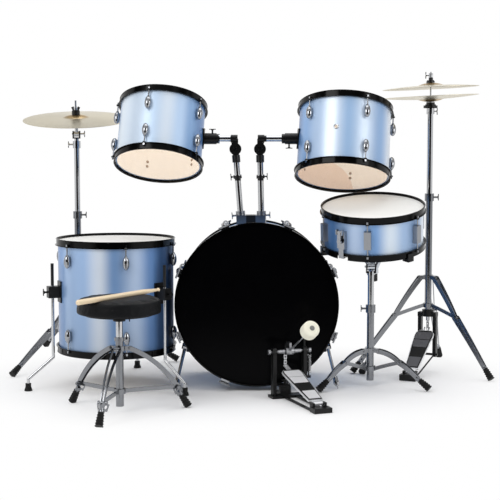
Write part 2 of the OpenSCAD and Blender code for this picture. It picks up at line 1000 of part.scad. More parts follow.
module snare_lugs() {
    r = snare_d / 2;
    b = snare_lug_block;
    color(chrome)
        at_snare()
            both_ends(snare_depth)
                for (k = [0 : snare_lugs_n - 1])
                    around(snare_a0 + k * 360 / snare_lugs_n) {
                        difference() {
                            translate([r - 3, -b.y / 2, -snare_depth / 2])
                                cube([b.x + 5, b.y, snare_depth / 2 - snare_lug_down]);
                            cylinder(r = r, h = 2 * snare_depth, center = true);
                            translate([r + rod_out, 0, -snare_lug_down - lug_bore])
                                cylinder(d = rod_d + 2 * fit, h = lug_bore + 1);
                        }
                        translate([r + rod_out, 0, ear_top])
                            tension_rod(snare_lug_down + lug_bore - fit + ear_top);
                    }
}

// Strainer block, butt plate and the wires under the lower head
module snare_strainer() {
    r = snare_d / 2;
    wires_n = 12;
    wire_pitch = 3.4;
    wire_d = 1.2;
    wire_l = 300;
    plate = [12, 42, 1.6];
    strap = [r + 13 - wire_l / 2, 20, 0.8];
    butt_w = 26;
    butt_h = 34;
    under = -snare_depth / 2 - head_t - wire_d / 2 - 0.1;
    color(chrome)
        at_snare()
            around(snare_strainer_a) {
                difference() {
                    union() {
                        translate([r - 3, -strainer_w / 2, -strainer_h / 2 - 6])
                            cube([strainer_out + 3, strainer_w, strainer_h]);
                        translate([-r - strainer_out, -butt_w / 2, -butt_h / 2 - 18])
                            cube([strainer_out + 3, butt_w, butt_h]);
                    }
                    cylinder(r = r, h = snare_depth, center = true);
                }
                translate([r + strainer_out / 2 - 1, 0, -strainer_h / 2 - 15])
                    cylinder(d = 9, h = 10);
                for (s = [-1, 1])
                    translate([r + strainer_out - 1, s * (strainer_w / 2 - 4) - 2, lever_z - 10])
                        cube([12, 4, 18]);
                for (k = [0 : wires_n - 1])
                    translate([0, (k - (wires_n - 1) / 2) * wire_pitch, under])
                        bar_x(wire_d, wire_l);
                for (s = [-1, 1]) {
                    translate([s * (wire_l / 2 + 2), 0, under - wire_d / 2])
                        cube(plate, center = true);
                    translate([s * (wire_l + 2 * r + 26) / 4, 0, under - wire_d / 2 - 0.9])
                        cube(strap, center = true);
                    translate([s * (r + 12.2), 0, under / 2 - strainer_h / 4 - 4])
                        cube([1.6, strap.y, -under - strainer_h / 2 - 4], center = true);
                }
            }
}

// Lever that throws the wires on and off, on a pin across the top of the strainer
module snare_lever() {
    lever_l = 34;
    color(chrome)
        at_snare()
            around(snare_strainer_a)
                translate([snare_d / 2 + strainer_out + 6, 0, lever_z]) {
                    bar_y(8, strainer_w - 8 - 4 - 2 * fit);
                    translate([0, -6, -lever_l])
                        cube([4, 12, lever_l]);
                    translate([2, 0, -lever_l])
                        bar_x(18, 6);
                }
}

// ---------------------------------------------------------------- stands

boot_l = 44;
boot_d = 28;
foot_bar_d = 15;
collar_wall = 6;
collar_h = 16;
brace_t = 4;
brace_w = 13;
leg_pin_d = 9;

// Flat bar in a plane from p to q, bowed upwards, with round ends
module bowed_bar(p, q, bow, w) {
    c = norm(q - p);
    big = (c * c / 4 + bow * bow) / (2 * bow);
    translate(p)
        rotate(atan2(q.y - p.y, q.x - p.x)) {
            intersection() {
                translate([c / 2, bow - big])
                    difference() {
                        circle(r = big + w / 2);
                        circle(r = big - w / 2);
                    }
                translate([0, -w])
                    square([c, 2 * w + bow]);
            }
            circle(d = w);
            translate([c, 0])
                circle(d = w);
        }
}

// Two side straps from p to q (radius, height), closing from one gap to another
module strap_pair(p, q, bow, gap_p, gap_q) {
    for (s = [-1, 1])
        translate([p.x, s * (gap_p + strap_t) / 2, 0])
            rotate([0, 0, -s * atan2((gap_p - gap_q) / 2, q.x - p.x)])
                translate([-p.x, 0, 0])
                    rotate([90, 0, 0])
                        linear_extrude(height = strap_t, center = true)
                            bowed_bar(p, q, bow, strap_w);
}

// Cross pin at a point of a leg
module leg_pin(p, l) {
    translate([p.x, 0, p.y])
        bar_y(leg_pin_d, l);
}

// Slope of the lower half of a leg and the end of its boot
function leg_slope(joint, foot_r) = atan2(joint.y - boot_d / 3, foot_r - joint.x);
function boot_end(joint, foot_r) = [foot_r, boot_d / 2 * cos(leg_slope(joint, foot_r)) - 2];

// Frame at the boot's end, +Z pointing back up the leg
module at_boot(joint, foot_r) {
    e = boot_end(joint, foot_r);
    translate([e.x, 0, e.y])
        rotate([0, -90 + leg_slope(joint, foot_r), 0])
            children();
}

// One leg: ear on the upper collar, two strap pairs meeting at the brace, brace and foot bar
module tripod_leg(tube, upper_z, lower_z, ear_r, joint, foot_r, bow) {
    slope = leg_slope(joint, foot_r);
    e = boot_end(joint, foot_r);
    ankle = [e.x - (boot_l + 6) * cos(slope), e.y + (boot_l + 6) * sin(slope)];
    start = [ear_r, upper_z - 2];
    pinch = 6;
    open = strap_gap + 8;
    translate([tube / 2 + 2, -open / 2, upper_z - collar_h / 2 + 1])
        cube([ear_r - tube / 2 - 2, open, collar_h - 2]);
    strap_pair(start, joint, bow, open, pinch);
    strap_pair(joint, ankle, bow / 2, open, pinch);
    leg_pin(start, open + 2 * strap_t + 4);
    leg_pin(joint, open + 2 * strap_t + 4);
    leg_pin(ankle, pinch + 2 * strap_t + 4);
    rotate([90, 0, 0])
        linear_extrude(height = brace_t, center = true)
            bowed_bar([tube / 2 + collar_wall, lower_z], joint, 1, brace_w);
    at_boot(joint, foot_r)
        translate([0, 0, 10])
            cylinder(d = foot_bar_d, h = boot_l + 6);
}

module tripod(at, angles, tube, tube_z0, tube_z1, upper_z, lower_z, ear_r, joint, foot_r, bow) {
    translate([at.x + kit_shift.x, at.y + kit_shift.y, 0]) {
        difference() {
            union() {
                for (a = angles)
                    around(a)
                        tripod_leg(tube, upper_z, lower_z, ear_r, joint, foot_r, bow);
                translate([0, 0, upper_z - collar_h / 2])
                    cylinder(d = tube + 2 * collar_wall, h = collar_h);
                translate([0, 0, lower_z - collar_h / 2])
                    cylinder(d = tube + 2 * collar_wall, h = collar_h);
            }
            translate([0, 0, -1])
                cylinder(d = tube - 1, h = tube_z1 + 2);
        }
        translate([0, 0, tube_z0])
            ring(tube, tube - 2 * tube_wall, tube_z1 - tube_z0);
    }
}

// Ribbed rubber boot, flat where it meets the floor
module boot(joint, foot_r) {
    ribs = 5;
    step = boot_l / ribs / 2;
    difference() {
        at_boot(joint, foot_r)
            rotate_extrude()
                polygon(concat(
                    [[0, 0]],
                    [for (k = [0 : 2 * ribs - 1]) [boot_d / 2 - (k % 2) * 2.5 - k * 0.3, k * step]],
                    [[foot_bar_d / 2 + 3, boot_l], [foot_bar_d / 2, boot_l], [foot_bar_d / 2, 10], [0, 10]]
                ));
        translate([foot_r - boot_l * 2, -boot_d, -boot_d])
            cube([4 * boot_l, 2 * boot_d, boot_d]);
    }
}

// Collar at the top of a tube with the wing bolt that locks the height
module height_collar(tube, top, side) {
    h = 28;
    translate([0, 0, top - h]) {
        ring(tube + 9, tube - 1, h);
        translate([side * (tube / 2 + 3), 0, h / 2])
            mirror([side < 0 ? 1 : 0, 0, 0])
                wing_bolt(7, 14);
    }
}

tube_mid_d = slide_tube_d;
tube_thin_d = slide_tube_d - 2 * tube_wall - 2 * fit;

// Legs of each stand: directions, collar heights, joint (radius, height) and foot radius
snare_legs = [62, 182, -58];
snare_joint = [111, 92];
snare_foot_r = 222;
snare_upper_z = 128;
snare_lower_z = 63;
snare_collar_top = 290;
hat_legs = [43, 163, -77];
hat_joint = [132, 213];
hat_foot_r = 296;
hat_upper_z = 354;
hat_lower_z = 248;
hat_tube_low = 206;
hat_collar_top = 668;
hat_lap = 268;
crash_legs = [-31.5, 88.5, 208.5];
crash_joint = [166, 143];
crash_foot_r = 388;
crash_upper_z = 243;
crash_lower_z = 124;
crash_collar_1 = 590;
crash_collar_2 = 862;
crash_lap_1 = 260;
crash_lap_2 = 242;
throne_legs = [-10.5, -130.5, 109.5];
throne_joint = [192, 70];
throne_foot_r = 228;
throne_upper_z = 208;
throne_lower_z = 69;
throne_collar_top = 244;
ear_reach = 34;

module snare_stand_base() {
    color(chrome) {
        tripod(snare_at, snare_legs, base_tube_d, 20, snare_collar_top,
               snare_upper_z, snare_lower_z, ear_reach, snare_joint, snare_foot_r, 7);
        translate([snare_at.x + kit_shift.x, snare_at.y + kit_shift.y, 0])
            height_collar(base_tube_d, snare_collar_top, -1);
    }
}

// Sliding tube with the fork that carries the basket
module snare_stand_tube() {
    fork_in = 13;
    fork_t = 5;
    color(chrome)
        translate([snare_at.x + kit_shift.x, snare_at.y + kit_shift.y, 0]) {
            translate([0, 0, 110])
                ring(tube_mid_d, tube_mid_d - 2 * tube_wall, snare_pivot_z - 110 - 22);
            translate([0, 0, snare_pivot_z - 30])
                cylinder(d = tube_mid_d + 5, h = 14);
            for (s = [-1, 1])
                translate([s * (fork_in + fork_t / 2), 0, snare_pivot_z - 6])
                    cube([fork_t, 20, 34], center = true);
            translate([-fork_in - fork_t, -10, snare_pivot_z - 23])
                cube([2 * fork_in + 2 * fork_t, 20, 6]);
            translate([0, 0, snare_pivot_z])
                rotate([0, snare_roll, 0])
                    bar_x(snare_pin_d, 2 * fork_in + 2 * fork_t + 8);
        }
}

// Basket: tilter knuckle, hub with its nut, three arms and rubber grips round the lower hoop
module snare_basket() {
    arms = [-82, 38, 158];
    arm_t = 8;
    arm_w = 14;
    grip_w = 26;
    grip_out = 6;
    hub_z = -24;
    hub_top = 40;
    floor_z = snare_rise - snare_depth - hoop_over;
    arm_z = floor_z - 8;
    r_out = snare_d / 2 + hoop_out;
    color(chrome)
        at_basket() {
            difference() {
                union() {
                    bar_x(24, 25);
                    translate([-8, 0, -8])
                        cube([20, snare_axis_out.y, 16]);
                }
                bar_x(snare_pin_d + 2 * fit, 40);
            }
            translate([snare_axis_out.x, snare_axis_out.y, 0]) {
                translate([0, 0, -38])
                    cylinder(d = 20, h = hub_top + 38);
                translate([0, 0, -65])
                    cylinder(d = 30, h = 28);
                translate([0, 0, hub_z - 12])
                    cylinder(d = 36, h = 24);
                for (a = arms)
                    around(a) {
                        rotate([90, 0, 0])
                            linear_extrude(height = arm_w, center = true)
                                union() {
                                    bowed_bar([12, hub_z], [66, arm_z], 6, arm_t);
                                    bowed_bar([66, arm_z], [r_out + 3, arm_z], 0.5, arm_t);
                                }
                        difference() {
                            translate([r_out - 22, -grip_w / 2, arm_z - 5])
                                cube([22 + grip_out, grip_w, 29]);
                            translate([0, 0, floor_z - fit])
                                cylinder(r = r_out + hoop_bead + fit, h = 40);
                        }
                    }
            }
        }
}

// ---------------------------------------------------------------- cymbals

bell_r = 48;
bell_h = 10;
cymbal_hole_d = 12;
bow_steps = 8;
bell_steps = 5;

// Height of a cymbal's lower face over its edge plane at radius r
function cymbal_z(r, r_edge, bow) =
    r > bell_r
        ? bow * (1 - pow(r / r_edge, 2))
        : bow * (1 - pow(bell_r / r_edge, 2)) + bell_h * (1 - pow(r / bell_r, 2));
function cymbal_top(r_edge, bow) = bow * (1 - pow(bell_r / r_edge, 2)) + bell_h;
// How far a bell has dropped at the rim of a felt
function bell_drop(d_felt) = bell_h * pow(d_felt / 2 / bell_r, 2);

// Cymbal with its edge in the plane z = 0, bell upwards
module cymbal(d, bow) {
    r = d / 2;
    hole = cymbal_hole_d / 2;
    radii = concat(
        [for (k = [0 : bow_steps]) r - k * (r - bell_r) / bow_steps],
        [for (k = [1 : bell_steps]) bell_r - k * (bell_r - hole) / bell_steps]
    );
    lower = [for (p = radii) [p, cymbal_z(p, r, bow)]];
    upper = [for (k = [len(radii) - 1 : -1 : 0]) [radii[k], cymbal_z(radii[k], r, bow) + cymbal_t]];
    rotate_extrude()
        polygon(concat(lower, upper));
}

// ---------------------------------------------------------------- hi-hat

hat_bow = 10;
hat_seat_top = hat_z - cymbal_top(hat_d / 2, hat_bow) - cymbal_t - 1;
hat_rod_low = 196;
hat_rod_top = hat_z + 90;
clutch_d = 12;
felt_d = 32;
hat_heel_y = -200;
hat_heel_z = 26;
hat_toe = [-22, 152];
hat_link_w = 9;

module at_hat() {
    translate([hat_at.x + kit_shift.x, hat_at.y + kit_shift.y, 0])
        children();
}

module hihat_stand_base() {
    color(chrome) {
        tripod(hat_at, hat_legs, base_tube_d, hat_tube_low, hat_collar_top,
               hat_upper_z, hat_lower_z, ear_reach, hat_joint, hat_foot_r, 3);
        at_hat()
            height_collar(base_tube_d, hat_collar_top, 1);
    }
}

module hihat_upper_tube() {
    sleeve_h = 22;
    cup_h = 14;
    cup_d = 52;
    bore = pull_rod_d + 2 * fit;
    cup_top = hat_seat_top - 8;
    color(chrome)
        at_hat() {
            translate([0, 0, hat_collar_top - hat_lap])
                ring(tube_mid_d, tube_mid_d - 2 * tube_wall, cup_top - cup_h - hat_collar_top + hat_lap);
            difference() {
                union() {
                    translate([0, 0, cup_top - cup_h - sleeve_h])
                        cylinder(d = tube_mid_d + 8, h = sleeve_h + 1);
                    translate([0, 0, cup_top - cup_h])
                        cylinder(d = cup_d, h = cup_h - 4);
                    translate([0, 0, cup_top - 4])
                        cylinder(d = cup_d - 12, h = 4);
                    translate([0, 0, cup_top])
                        cylinder(d = felt_d, h = 8);
                }
                translate([0, 0, 400])
                    cylinder(d = bore, h = hat_z);
                translate([0, 0, cup_top - cup_h - sleeve_h - 1])
                    cylinder(d = tube_mid_d - 1, h = sleeve_h);
            }
            translate([tube_mid_d / 2 + 2, 0, cup_top - cup_h - 12])
                wing_bolt(5, 8);
        }
}

module hihat_bottom_cymbal() {
    color(cymbal_gold)
        at_hat()
            translate([0, 0, hat_z])
                rotate([0, -hat_tilt, 0])
                    mirror([0, 0, 1])
                        cymbal(hat_d, hat_bow);
}

module hihat_top_cymbal() {
    color(cymbal_gold)
        at_hat()
            translate([0, 0, hat_z + hat_gap])
                rotate([0, -hat_tilt, 0])
                    cymbal(hat_d, hat_bow);
}

// Clutch: tube through the top cymbal, a felt on each side, a nut below and the lock above
module hihat_clutch() {
    top = cymbal_top(hat_d / 2, hat_bow) + cymbal_t;
    felt_h = 5;
    bore = pull_rod_d + 2 * fit;
    lock_h = 26;
    nut_h = 5;
    tube_low = top - cymbal_t - felt_h - nut_h - 1;
    color(chrome)
        at_hat()
            translate([0, 0, hat_z + hat_gap]) {
                difference() {
                    union() {
                        translate([0, 0, tube_low])
                            cylinder(d = clutch_d - 3, h = 30);
                        rotate([0, -hat_tilt, 0]) {
                            translate([0, 0, top + fit])
                                cylinder(d = felt_d, h = felt_h);
                            translate([0, 0, top + fit + felt_h])
                                cylinder(d = felt_d - 5, h = 4);
                            translate([0, 0, top - cymbal_t - felt_h - fit - bell_drop(felt_d - 12)])
                                cylinder(d = felt_d - 12, h = felt_h);
                        }
                        translate([0, 0, tube_low])
                            cylinder(d = clutch_d + 3, h = nut_h);
                        translate([0, 0, top + felt_h + 4])
                            cylinder(d = clutch_d + 4, h = lock_h);
                    }
                    translate([0, 0, tube_low - 2])
                        cylinder(d = bore, h = 90);
                }
                translate([-clutch_d / 2 - 1, 0, top + felt_h + lock_h - 4])
                    mirror([1, 0, 0])
                        wing_bolt(5, 8);
            }
}

// Pull rod with the chain that hangs from it down to the footboard's toe
module hihat_pull_rod() {
    links = 4;
    link_l = 9;
    color(chrome)
        at_hat() {
            translate([0, 0, hat_rod_low])
                cylinder(d = pull_rod_d, h = hat_rod_top - hat_rod_low);
            translate([0, 0, hat_rod_low - 6])
                cylinder(d = 14, h = 16);
            rotate([0, 0, hat_yaw])
                for (k = [0 : links - 1])
                    translate([0, 0, hat_rod_low - 6 - k * link_l]) {
                        bar_x(5, 9);
                        for (s = [-1, 1])
                            translate([s * (k % 2 == 0 ? 4 : 2.5), 0, -link_l / 2])
                                cube([1.5, 5, link_l + 4], center = true);
                    }
        }
}

// Treadle plate in the Y-Z plane frame: wide at the toe, narrow at the heel, hinged at the heel
module treadle(l, toe_w, heel_w, t) {
    corner = 14;
    linear_extrude(height = t)
        polygon([
            [-heel_w / 2, 0], [heel_w / 2, 0], [toe_w / 2, l - 2 * corner], [toe_w / 2 - 2, l - corner],
            [toe_w / 2 - corner, l], [corner - toe_w / 2, l], [2 - toe_w / 2, l - corner],
            [-toe_w / 2, l - 2 * corner]
        ]);
}

toe_w = 74;
heel_w = 52;
plate_t = 5;
hinge_d = 7;
heel_gap = 16;

module at_hat_pedal() {
    at_hat()
        rotate([0, 0, hat_yaw])
            children();
}

module hihat_footboard() {
    run = [hat_toe.x - hat_heel_y, hat_toe.y - hat_heel_z];
    l = norm(run);
    slope = atan2(run.y, run.x);
    ridge = [44, 3, 2];
    color("silver")
        at_hat_pedal()
            translate([0, hat_heel_y, hat_heel_z])
                rotate([slope, 0, 0]) {
                    translate([0, heel_gap, hinge_d / 2 - plate_t])
                        treadle(l - heel_gap, toe_w, heel_w, plate_t);
                    difference() {
                        union() {
                            bar_x(hinge_d + 5, heel_w - 20);
                            translate([10 - heel_w / 2, 0, -1])
                                cube([heel_w - 20, heel_gap + 3, hinge_d / 2]);
                        }
                        bar_x(hinge_d + 2 * fit - 1, heel_w);
                    }
                    for (k = [1 : 7])
                        translate([-ridge.x / 2, k * (l - heel_gap) / 8 + heel_gap - 4, hinge_d / 2 - 0.5])
                            cube(ridge);
                    for (s = [-1, 1])
                        translate([s * hat_link_w - 2, l - 14, -2])
                            cube([4, 34, 4]);
                }
}

module hihat_pedal_frame() {
    arm_x = 29;
    arm = [13, 22, 160];
    cross_z = 62;
    head = [2 * arm_x + arm.x, 30, 16];
    heel = [60, 46, 22];
    rod_off = 36;
    color(hoop_black)
        at_hat_pedal() {
            difference() {
                union() {
                    translate([0, 0, hat_tube_low + 13])
                        cylinder(d = base_tube_d + 18, h = 26, center = true);
                    translate([0, 0, hat_tube_low + 8])
                        cube(head, center = true);
                }
                translate([0, 0, hat_tube_low])
                    cylinder(d = base_tube_d, h = 40);
                translate([0, 0, 0])
                    cylinder(d = 18, h = 300);
            }
            for (s = [-1, 1]) {
                translate([s * arm_x, 0, cross_z - 8 + arm.z / 2])
                    cube(arm, center = true);
                rod([s * (arm_x - 2), 0, cross_z], [s * rod_off / 1.5, hat_heel_y - 10, 10], 6);
            }
            translate([0, 0, cross_z])
                bar_x(9, 2 * arm_x + arm.x + 8);
            translate([-heel.x / 2, hat_heel_y - heel.y + 10, 0])
                cube([heel.x, heel.y - 20, heel.z]);
            for (s = [-1, 1])
                translate([s * (heel_w / 2 - 5), hat_heel_y - 4, hat_heel_z / 2 + 3])
                    cube([8, 24, hat_heel_z + 6], center = true);
            translate([0, hat_heel_y, hat_heel_z])
                bar_x(hinge_d - 1, heel_w);
        }
}

// ---------------------------------------------------------------- crash stand

crash_pivot_out = 27;
crash_pivot_z = crash_collar_2 + crash_pivot_out;
crash_rise = (crash_z - crash_pivot_z) / cos(crash_tilt);
crash_rod_l = 130;
crash_fork_in = 10;
crash_fork_t = 5;
crash_bow = 8.5;

module at_crash() {
    translate([crash_at.x + kit_shift.x, crash_at.y + kit_shift.y, 0])
        children();
}

module at_crash_tilter() {
    at_crash()
        translate([0, 0, crash_pivot_z])
            rotate([crash_tilt, 0, 0])
                children();
}

module crash_stand_base() {
    color(chrome) {
        tripod(crash_at, crash_legs, base_tube_d, 90, crash_collar_1,
               crash_upper_z, crash_lower_z, ear_reach, crash_joint, crash_foot_r, 3);
        at_crash()
            height_collar(base_tube_d, crash_collar_1, 1);
    }
}

module crash_middle_tube() {
    color(chrome)
        at_crash() {
            translate([0, 0, crash_collar_1 - crash_lap_1])
                ring(tube_mid_d, tube_mid_d - 2 * tube_wall, crash_collar_2 - crash_collar_1 + crash_lap_1);
            height_collar(tube_mid_d, crash_collar_2, -1);
        }
}

module crash_top_tube() {
    fork_w = 2 * crash_fork_in + 2 * crash_fork_t;
    color(chrome)
        at_crash() {
            translate([0, 0, crash_collar_2 - crash_lap_2])
                ring(tube_thin_d, tube_thin_d - 2 * tube_wall, crash_pivot_out + crash_lap_2 - 14);
            translate([-fork_w / 2, -9, crash_pivot_z - 18])
                cube([fork_w, 18, 5]);
            for (s = [-1, 1])
                translate([s * (crash_fork_in + crash_fork_t / 2), 0, crash_pivot_z - 3])
                    cube([crash_fork_t, 18, 30], center = true);
            translate([0, 0, crash_pivot_z])
                bar_x(7, fork_w + 6);
            translate([fork_w / 2 + 2, 0, crash_pivot_z])
                wing_bolt(7, 10);
        }
}

module crash_rod() {
    top = crash_rise + cymbal_top(crash_d / 2, crash_bow);
    felt_h = 15;
    felt_low = top - bell_drop(felt_d - 3) - fit - felt_h;
    stem_d = rod_tip_d;
    color(chrome)
        at_crash_tilter() {
            difference() {
                union() {
                    bar_x(20, 2 * crash_fork_in - 2 * fit);
                    translate([0, 0, 4])
                        cylinder(d = stem_d + 6, h = 20);
                }
                bar_x(7 + 2 * fit, 40);
            }
            translate([0, 0, 20])
                cylinder(d = stem_d, h = crash_rod_l - 20);
            translate([0, 0, felt_low - 3])
                cylinder(d = felt_d, h = 3);
            translate([0, 0, felt_low])
                cylinder(d = felt_d - 3, h = felt_h);
            translate([0, 0, top + cymbal_t + fit])
                cylinder(d = felt_d - 1, h = felt_h);
            translate([0, 0, top + cymbal_t + fit + felt_h])
                cylinder(d = felt_d - 10, h = 2);
            translate([0, 0, top + cymbal_t + fit + felt_h + 2])
                cylinder(d = stem_d + 7, h = 9);
            for (s = [-1, 1])
                translate([s * 10, 0, top + cymbal_t + felt_h + 9])
                    rotate([0, s * 25, 0])
                        cube([10, 3.5, 14], center = true);
        }
}

module crash_cymbal() {
    color(cymbal_gold)
        at_crash_tilter()
            translate([0, 0, crash_rise])
                cymbal(crash_d, crash_bow);
}

// ---------------------------------------------------------------- throne

seat_low = seat_top - seat_t;

module at_throne() {
    translate([throne_at.x + kit_shift.x, throne_at.y + kit_shift.y, 0])
        children();
}

module throne_base() {
    color(chrome) {
        tripod(throne_at, throne_legs, base_tube_d, 20, throne_collar_top,
               throne_upper_z, throne_lower_z, ear_reach, throne_joint, throne_foot_r, 16);
        at_throne()
            ring_collar(throne_collar_top);
    }
}

// Plain collar round a base tube
module ring_collar(top) {
    translate([0, 0, top - 12])
        ring(base_tube_d + 7, base_tube_d - 1, 12);
}

module throne_post() {
    color(chrome)
        at_throne()
            translate([0, 0, 90])
                ring(tube_mid_d, tube_mid_d - 2 * tube_wall, seat_low - 8 - 90);
}

module throne_seat_socket() {
    socket_d = 40;
    socket_h = 26;
    deck_d = 220;
    deck_t = 6;
    color(hoop_black)
        at_throne() {
            difference() {
                union() {
                    translate([0, 0, seat_low - socket_h])
                        cylinder(d = socket_d, h = socket_h);
                    translate([0, 0, seat_low - deck_t])
                        cylinder(d = deck_d, h = deck_t);
                }
                translate([0, 0, seat_low - socket_h - 1])
                    cylinder(d = tube_mid_d + 2 * fit, h = socket_h - deck_t);
            }
            translate([socket_d / 2 - 1, 0, seat_low - socket_h + 10])
                wing_bolt(7, 10);
        }
}

module throne_seat() {
    edge_r = 12;
    r = seat_d / 2;
    color(rubber_black)
        at_throne()
            translate([0, 0, seat_low + fit])
                rotate_extrude()
                    union() {
                        square([r - edge_r, seat_t - fit]);
                        square([r, seat_t - edge_r]);
                        translate([r - edge_r, seat_t - edge_r - fit])
                            intersection() {
                                circle(r = edge_r);
                                square(edge_r);
                            }
                    }
}

// Two sticks lying side by side on the seat
module drumsticks() {
    butt = [-109.5, -180.6];
    stick_yaw = 55.6;
    stick_d = 14.2;
    taper_l = 70;
    neck_d = 6;
    bead_d = 9.5;
    slip = 16;
    color(maple)
        at_throne()
            translate([butt.x, butt.y, seat_top + stick_d / 2 + 0.1])
                rotate([0, 0, stick_yaw])
                    for (k = [0, 1])
                        translate([k * slip, k * (stick_d + 0.2), 0])
                            rotate([0, 90, 0]) {
                                cylinder(d1 = stick_d - 4, d2 = stick_d, h = 4);
                                translate([0, 0, 4])
                                    cylinder(d = stick_d, h = stick_l - taper_l - 16);
                                translate([0, 0, stick_l - taper_l - 12])
                                    cylinder(d1 = stick_d, d2 = neck_d, h = taper_l);
                                translate([0, 0, stick_l - bead_d / 2])
                                    intersection() {
                                        sphere(d = bead_d);
                                        cube([bead_d, bead_d, 2 * bead_d], center = true);
                                    }
                                translate([0, 0, stick_l - 14])
                                    cylinder(d = neck_d, h = 8);
                            }
}

// ---------------------------------------------------------------- bass pedal

pedal_post_x = pedal_post_gap / 2;
cam_r = 32;
cam_w = 8;
pedal_heel_z = 24;
pedal_toe = [-6, 90];
axle_d = 8;
chain_y = cam_r + 3;

module at_pedal() {
    translate([pedal_at.x + kit_shift.x, pedal_at.y + kit_shift.y, 0])
        rotate([0, 0, pedal_yaw])
            children();
}

module pedal_frame() {
    post = [13, 22, 140];
    base = [2 * pedal_post_x + 26, 46, 8];
    clamp = [40, 60, 8];
    heel = [62, 58, 16];
    bar_w = 12;
    spring_x = pedal_post_x + 16;
    coil_d = 13;
    coils = 9;
    color(hoop_black)
        at_pedal() {
            translate([-base.x / 2, -24, 0])
                cube(base);
            for (s = [-1, 1]) {
                translate([s * pedal_post_x, 0, post.z / 2 + 4])
                    cube(post, center = true);
                difference() {
                    union() {
                        translate([s * pedal_post_x, 0, pedal_axle_z])
                            bar_x(28, 14);
                        translate([s * pedal_post_x, 0, pedal_axle_z - 12])
                            cube([13, 22, 20], center = true);
                    }
                    translate([s * pedal_post_x, 0, pedal_axle_z])
                        bar_x(axle_d + 2 * fit, 40);
                }
                translate([s * 22 - bar_w / 2, -pedal_reach, 1])
                    cube([bar_w, pedal_reach, 4]);
            }
            translate([-clamp.x / 2, 20, 0])
                cube(clamp);
            translate([-clamp.x / 2, 30, 7])
                cube([clamp.x, 14, 22]);
            translate([-clamp.x / 2, 34, 26])
                cube([clamp.x, 40, 7]);
            translate([0, 37, 30])
                rotate([0, -90, 0])
                    wing_bolt(9, 16);
            translate([-heel.x / 2, -pedal_reach - heel.y + 12, 0])
                cube([heel.x, heel.y - 20, heel.z]);
            for (s = [-1, 1])
                translate([s * (heel_w / 2 - 5), -pedal_reach - 4, pedal_heel_z / 2 + 2])
                    cube([8, 24, pedal_heel_z + 4], center = true);
            translate([0, -pedal_reach, pedal_heel_z])
                bar_x(hinge_d - 1, heel_w);
            translate([pedal_post_x, -6, 60])
                cube([22, 12, 8]);
            translate([pedal_post_x, 0, pedal_axle_z + 10])
                cylinder(d = 7, h = 28);
            translate([spring_x, 0, 62])
                cylinder(d = 5, h = 74);
            for (k = [0 : coils - 1])
                translate([spring_x, 0, 84 + k * 5])
                    cylinder(d = coil_d, h = 3);
        }
}

module pedal_footboard() {
    run = [pedal_toe.x + pedal_reach, pedal_toe.y - pedal_heel_z];
    l = norm(run);
    slope = atan2(run.y, run.x);
    ridge = [44, 3, 2];
    links = 6;
    link_l = 9;
    color("silver")
        at_pedal() {
            translate([0, -pedal_reach, pedal_heel_z])
                rotate([slope, 0, 0]) {
                    translate([0, heel_gap, hinge_d / 2 - plate_t])
                        treadle(l - heel_gap, toe_w, heel_w, plate_t);
                    difference() {
                        union() {
                            bar_x(hinge_d + 5, heel_w - 20);
                            translate([10 - heel_w / 2, 0, -1])
                                cube([heel_w - 20, heel_gap + 3, hinge_d / 2]);
                        }
                        bar_x(hinge_d + 2 * fit - 1, heel_w);
                    }
                    for (k = [1 : 7])
                        translate([-ridge.x / 2, k * (l - heel_gap) / 8 + heel_gap - 4, hinge_d / 2 - 0.5])
                            cube(ridge);
                    translate([-7, l - 14, -2])
                        cube([14, 56, 4]);
                }
            for (k = [0 : links - 1])
                translate([0, chain_y, pedal_axle_z - 3 - k * link_l]) {
                    bar_x(5, 9);
                    for (s = [-1, 1])
                        translate([s * (k % 2 == 0 ? 4 : 2.5), 0, -link_l / 2])
                            cube([1.5, 5, link_l + 4], center = true);
                }
        }
}

// Axle with its cam, hub, beater rod and head
module pedal_beater() {
    axle_l = 2 * pedal_post_x + 44;
    head_d = 57;
    head_h = 44;
    hub_d = 24;
    soft = 9;
    color(chrome)
        at_pedal()
            translate([0, 0, pedal_axle_z]) {
                bar_x(axle_d, axle_l);
                for (s = [-1, 1])
                    translate([s * 30, 0, 0])
                        bar_x(14, 24);
                for (s = [-1, 1])
                    translate([s * (axle_l / 2 - 4), 0, 0])
                        bar_x(18, 8);
                bar_x(hub_d, 2 * cam_w + 12);
                intersection() {
                    bar_x(2 * cam_r, cam_w);
                    translate([-cam_w, -12, -8])
                        cube([2 * cam_w, cam_r + 12, cam_r + 8]);
                }
                rotate([beater_lean, 0, 0]) {
                    cylinder(d = 7, h = beater_l + head_h / 2 + 3);
                    translate([0, 0, -20])
                        cylinder(d = 7, h = 20);
                    translate([0, 0, beater_l - head_h / 2])
                        rotate_extrude()
                            union() {
                                square([head_d / 2 - soft, head_h]);
                                translate([0, soft])
                                    square([head_d / 2, head_h - 2 * soft]);
                                for (z = [soft, head_h - soft])
                                    translate([head_d / 2 - soft, z])
                                        circle(r = soft);
                            }
                    translate([0, 0, beater_l + head_h / 2])
                        cylinder(d = 16, h = 2);
                }
            }
}

// ---------------------------------------------------------------- feet on the floor

// Conical rubber foot on a floor tom leg
module leg_foot() {
    rotate_extrude()
        polygon([
            [0, 0], [14, 0], [14, 3], [10, 14], [10, floor_foot_h],
            [leg_rod_d / 2, floor_foot_h], [leg_rod_d / 2, 4], [0, 4]
        ]);
}

module stand_boots(at, angles, joint, foot_r) {
    translate([at.x + kit_shift.x, at.y + kit_shift.y, 0])
        for (a = angles)
            around(a)
                boot(joint, foot_r);
}

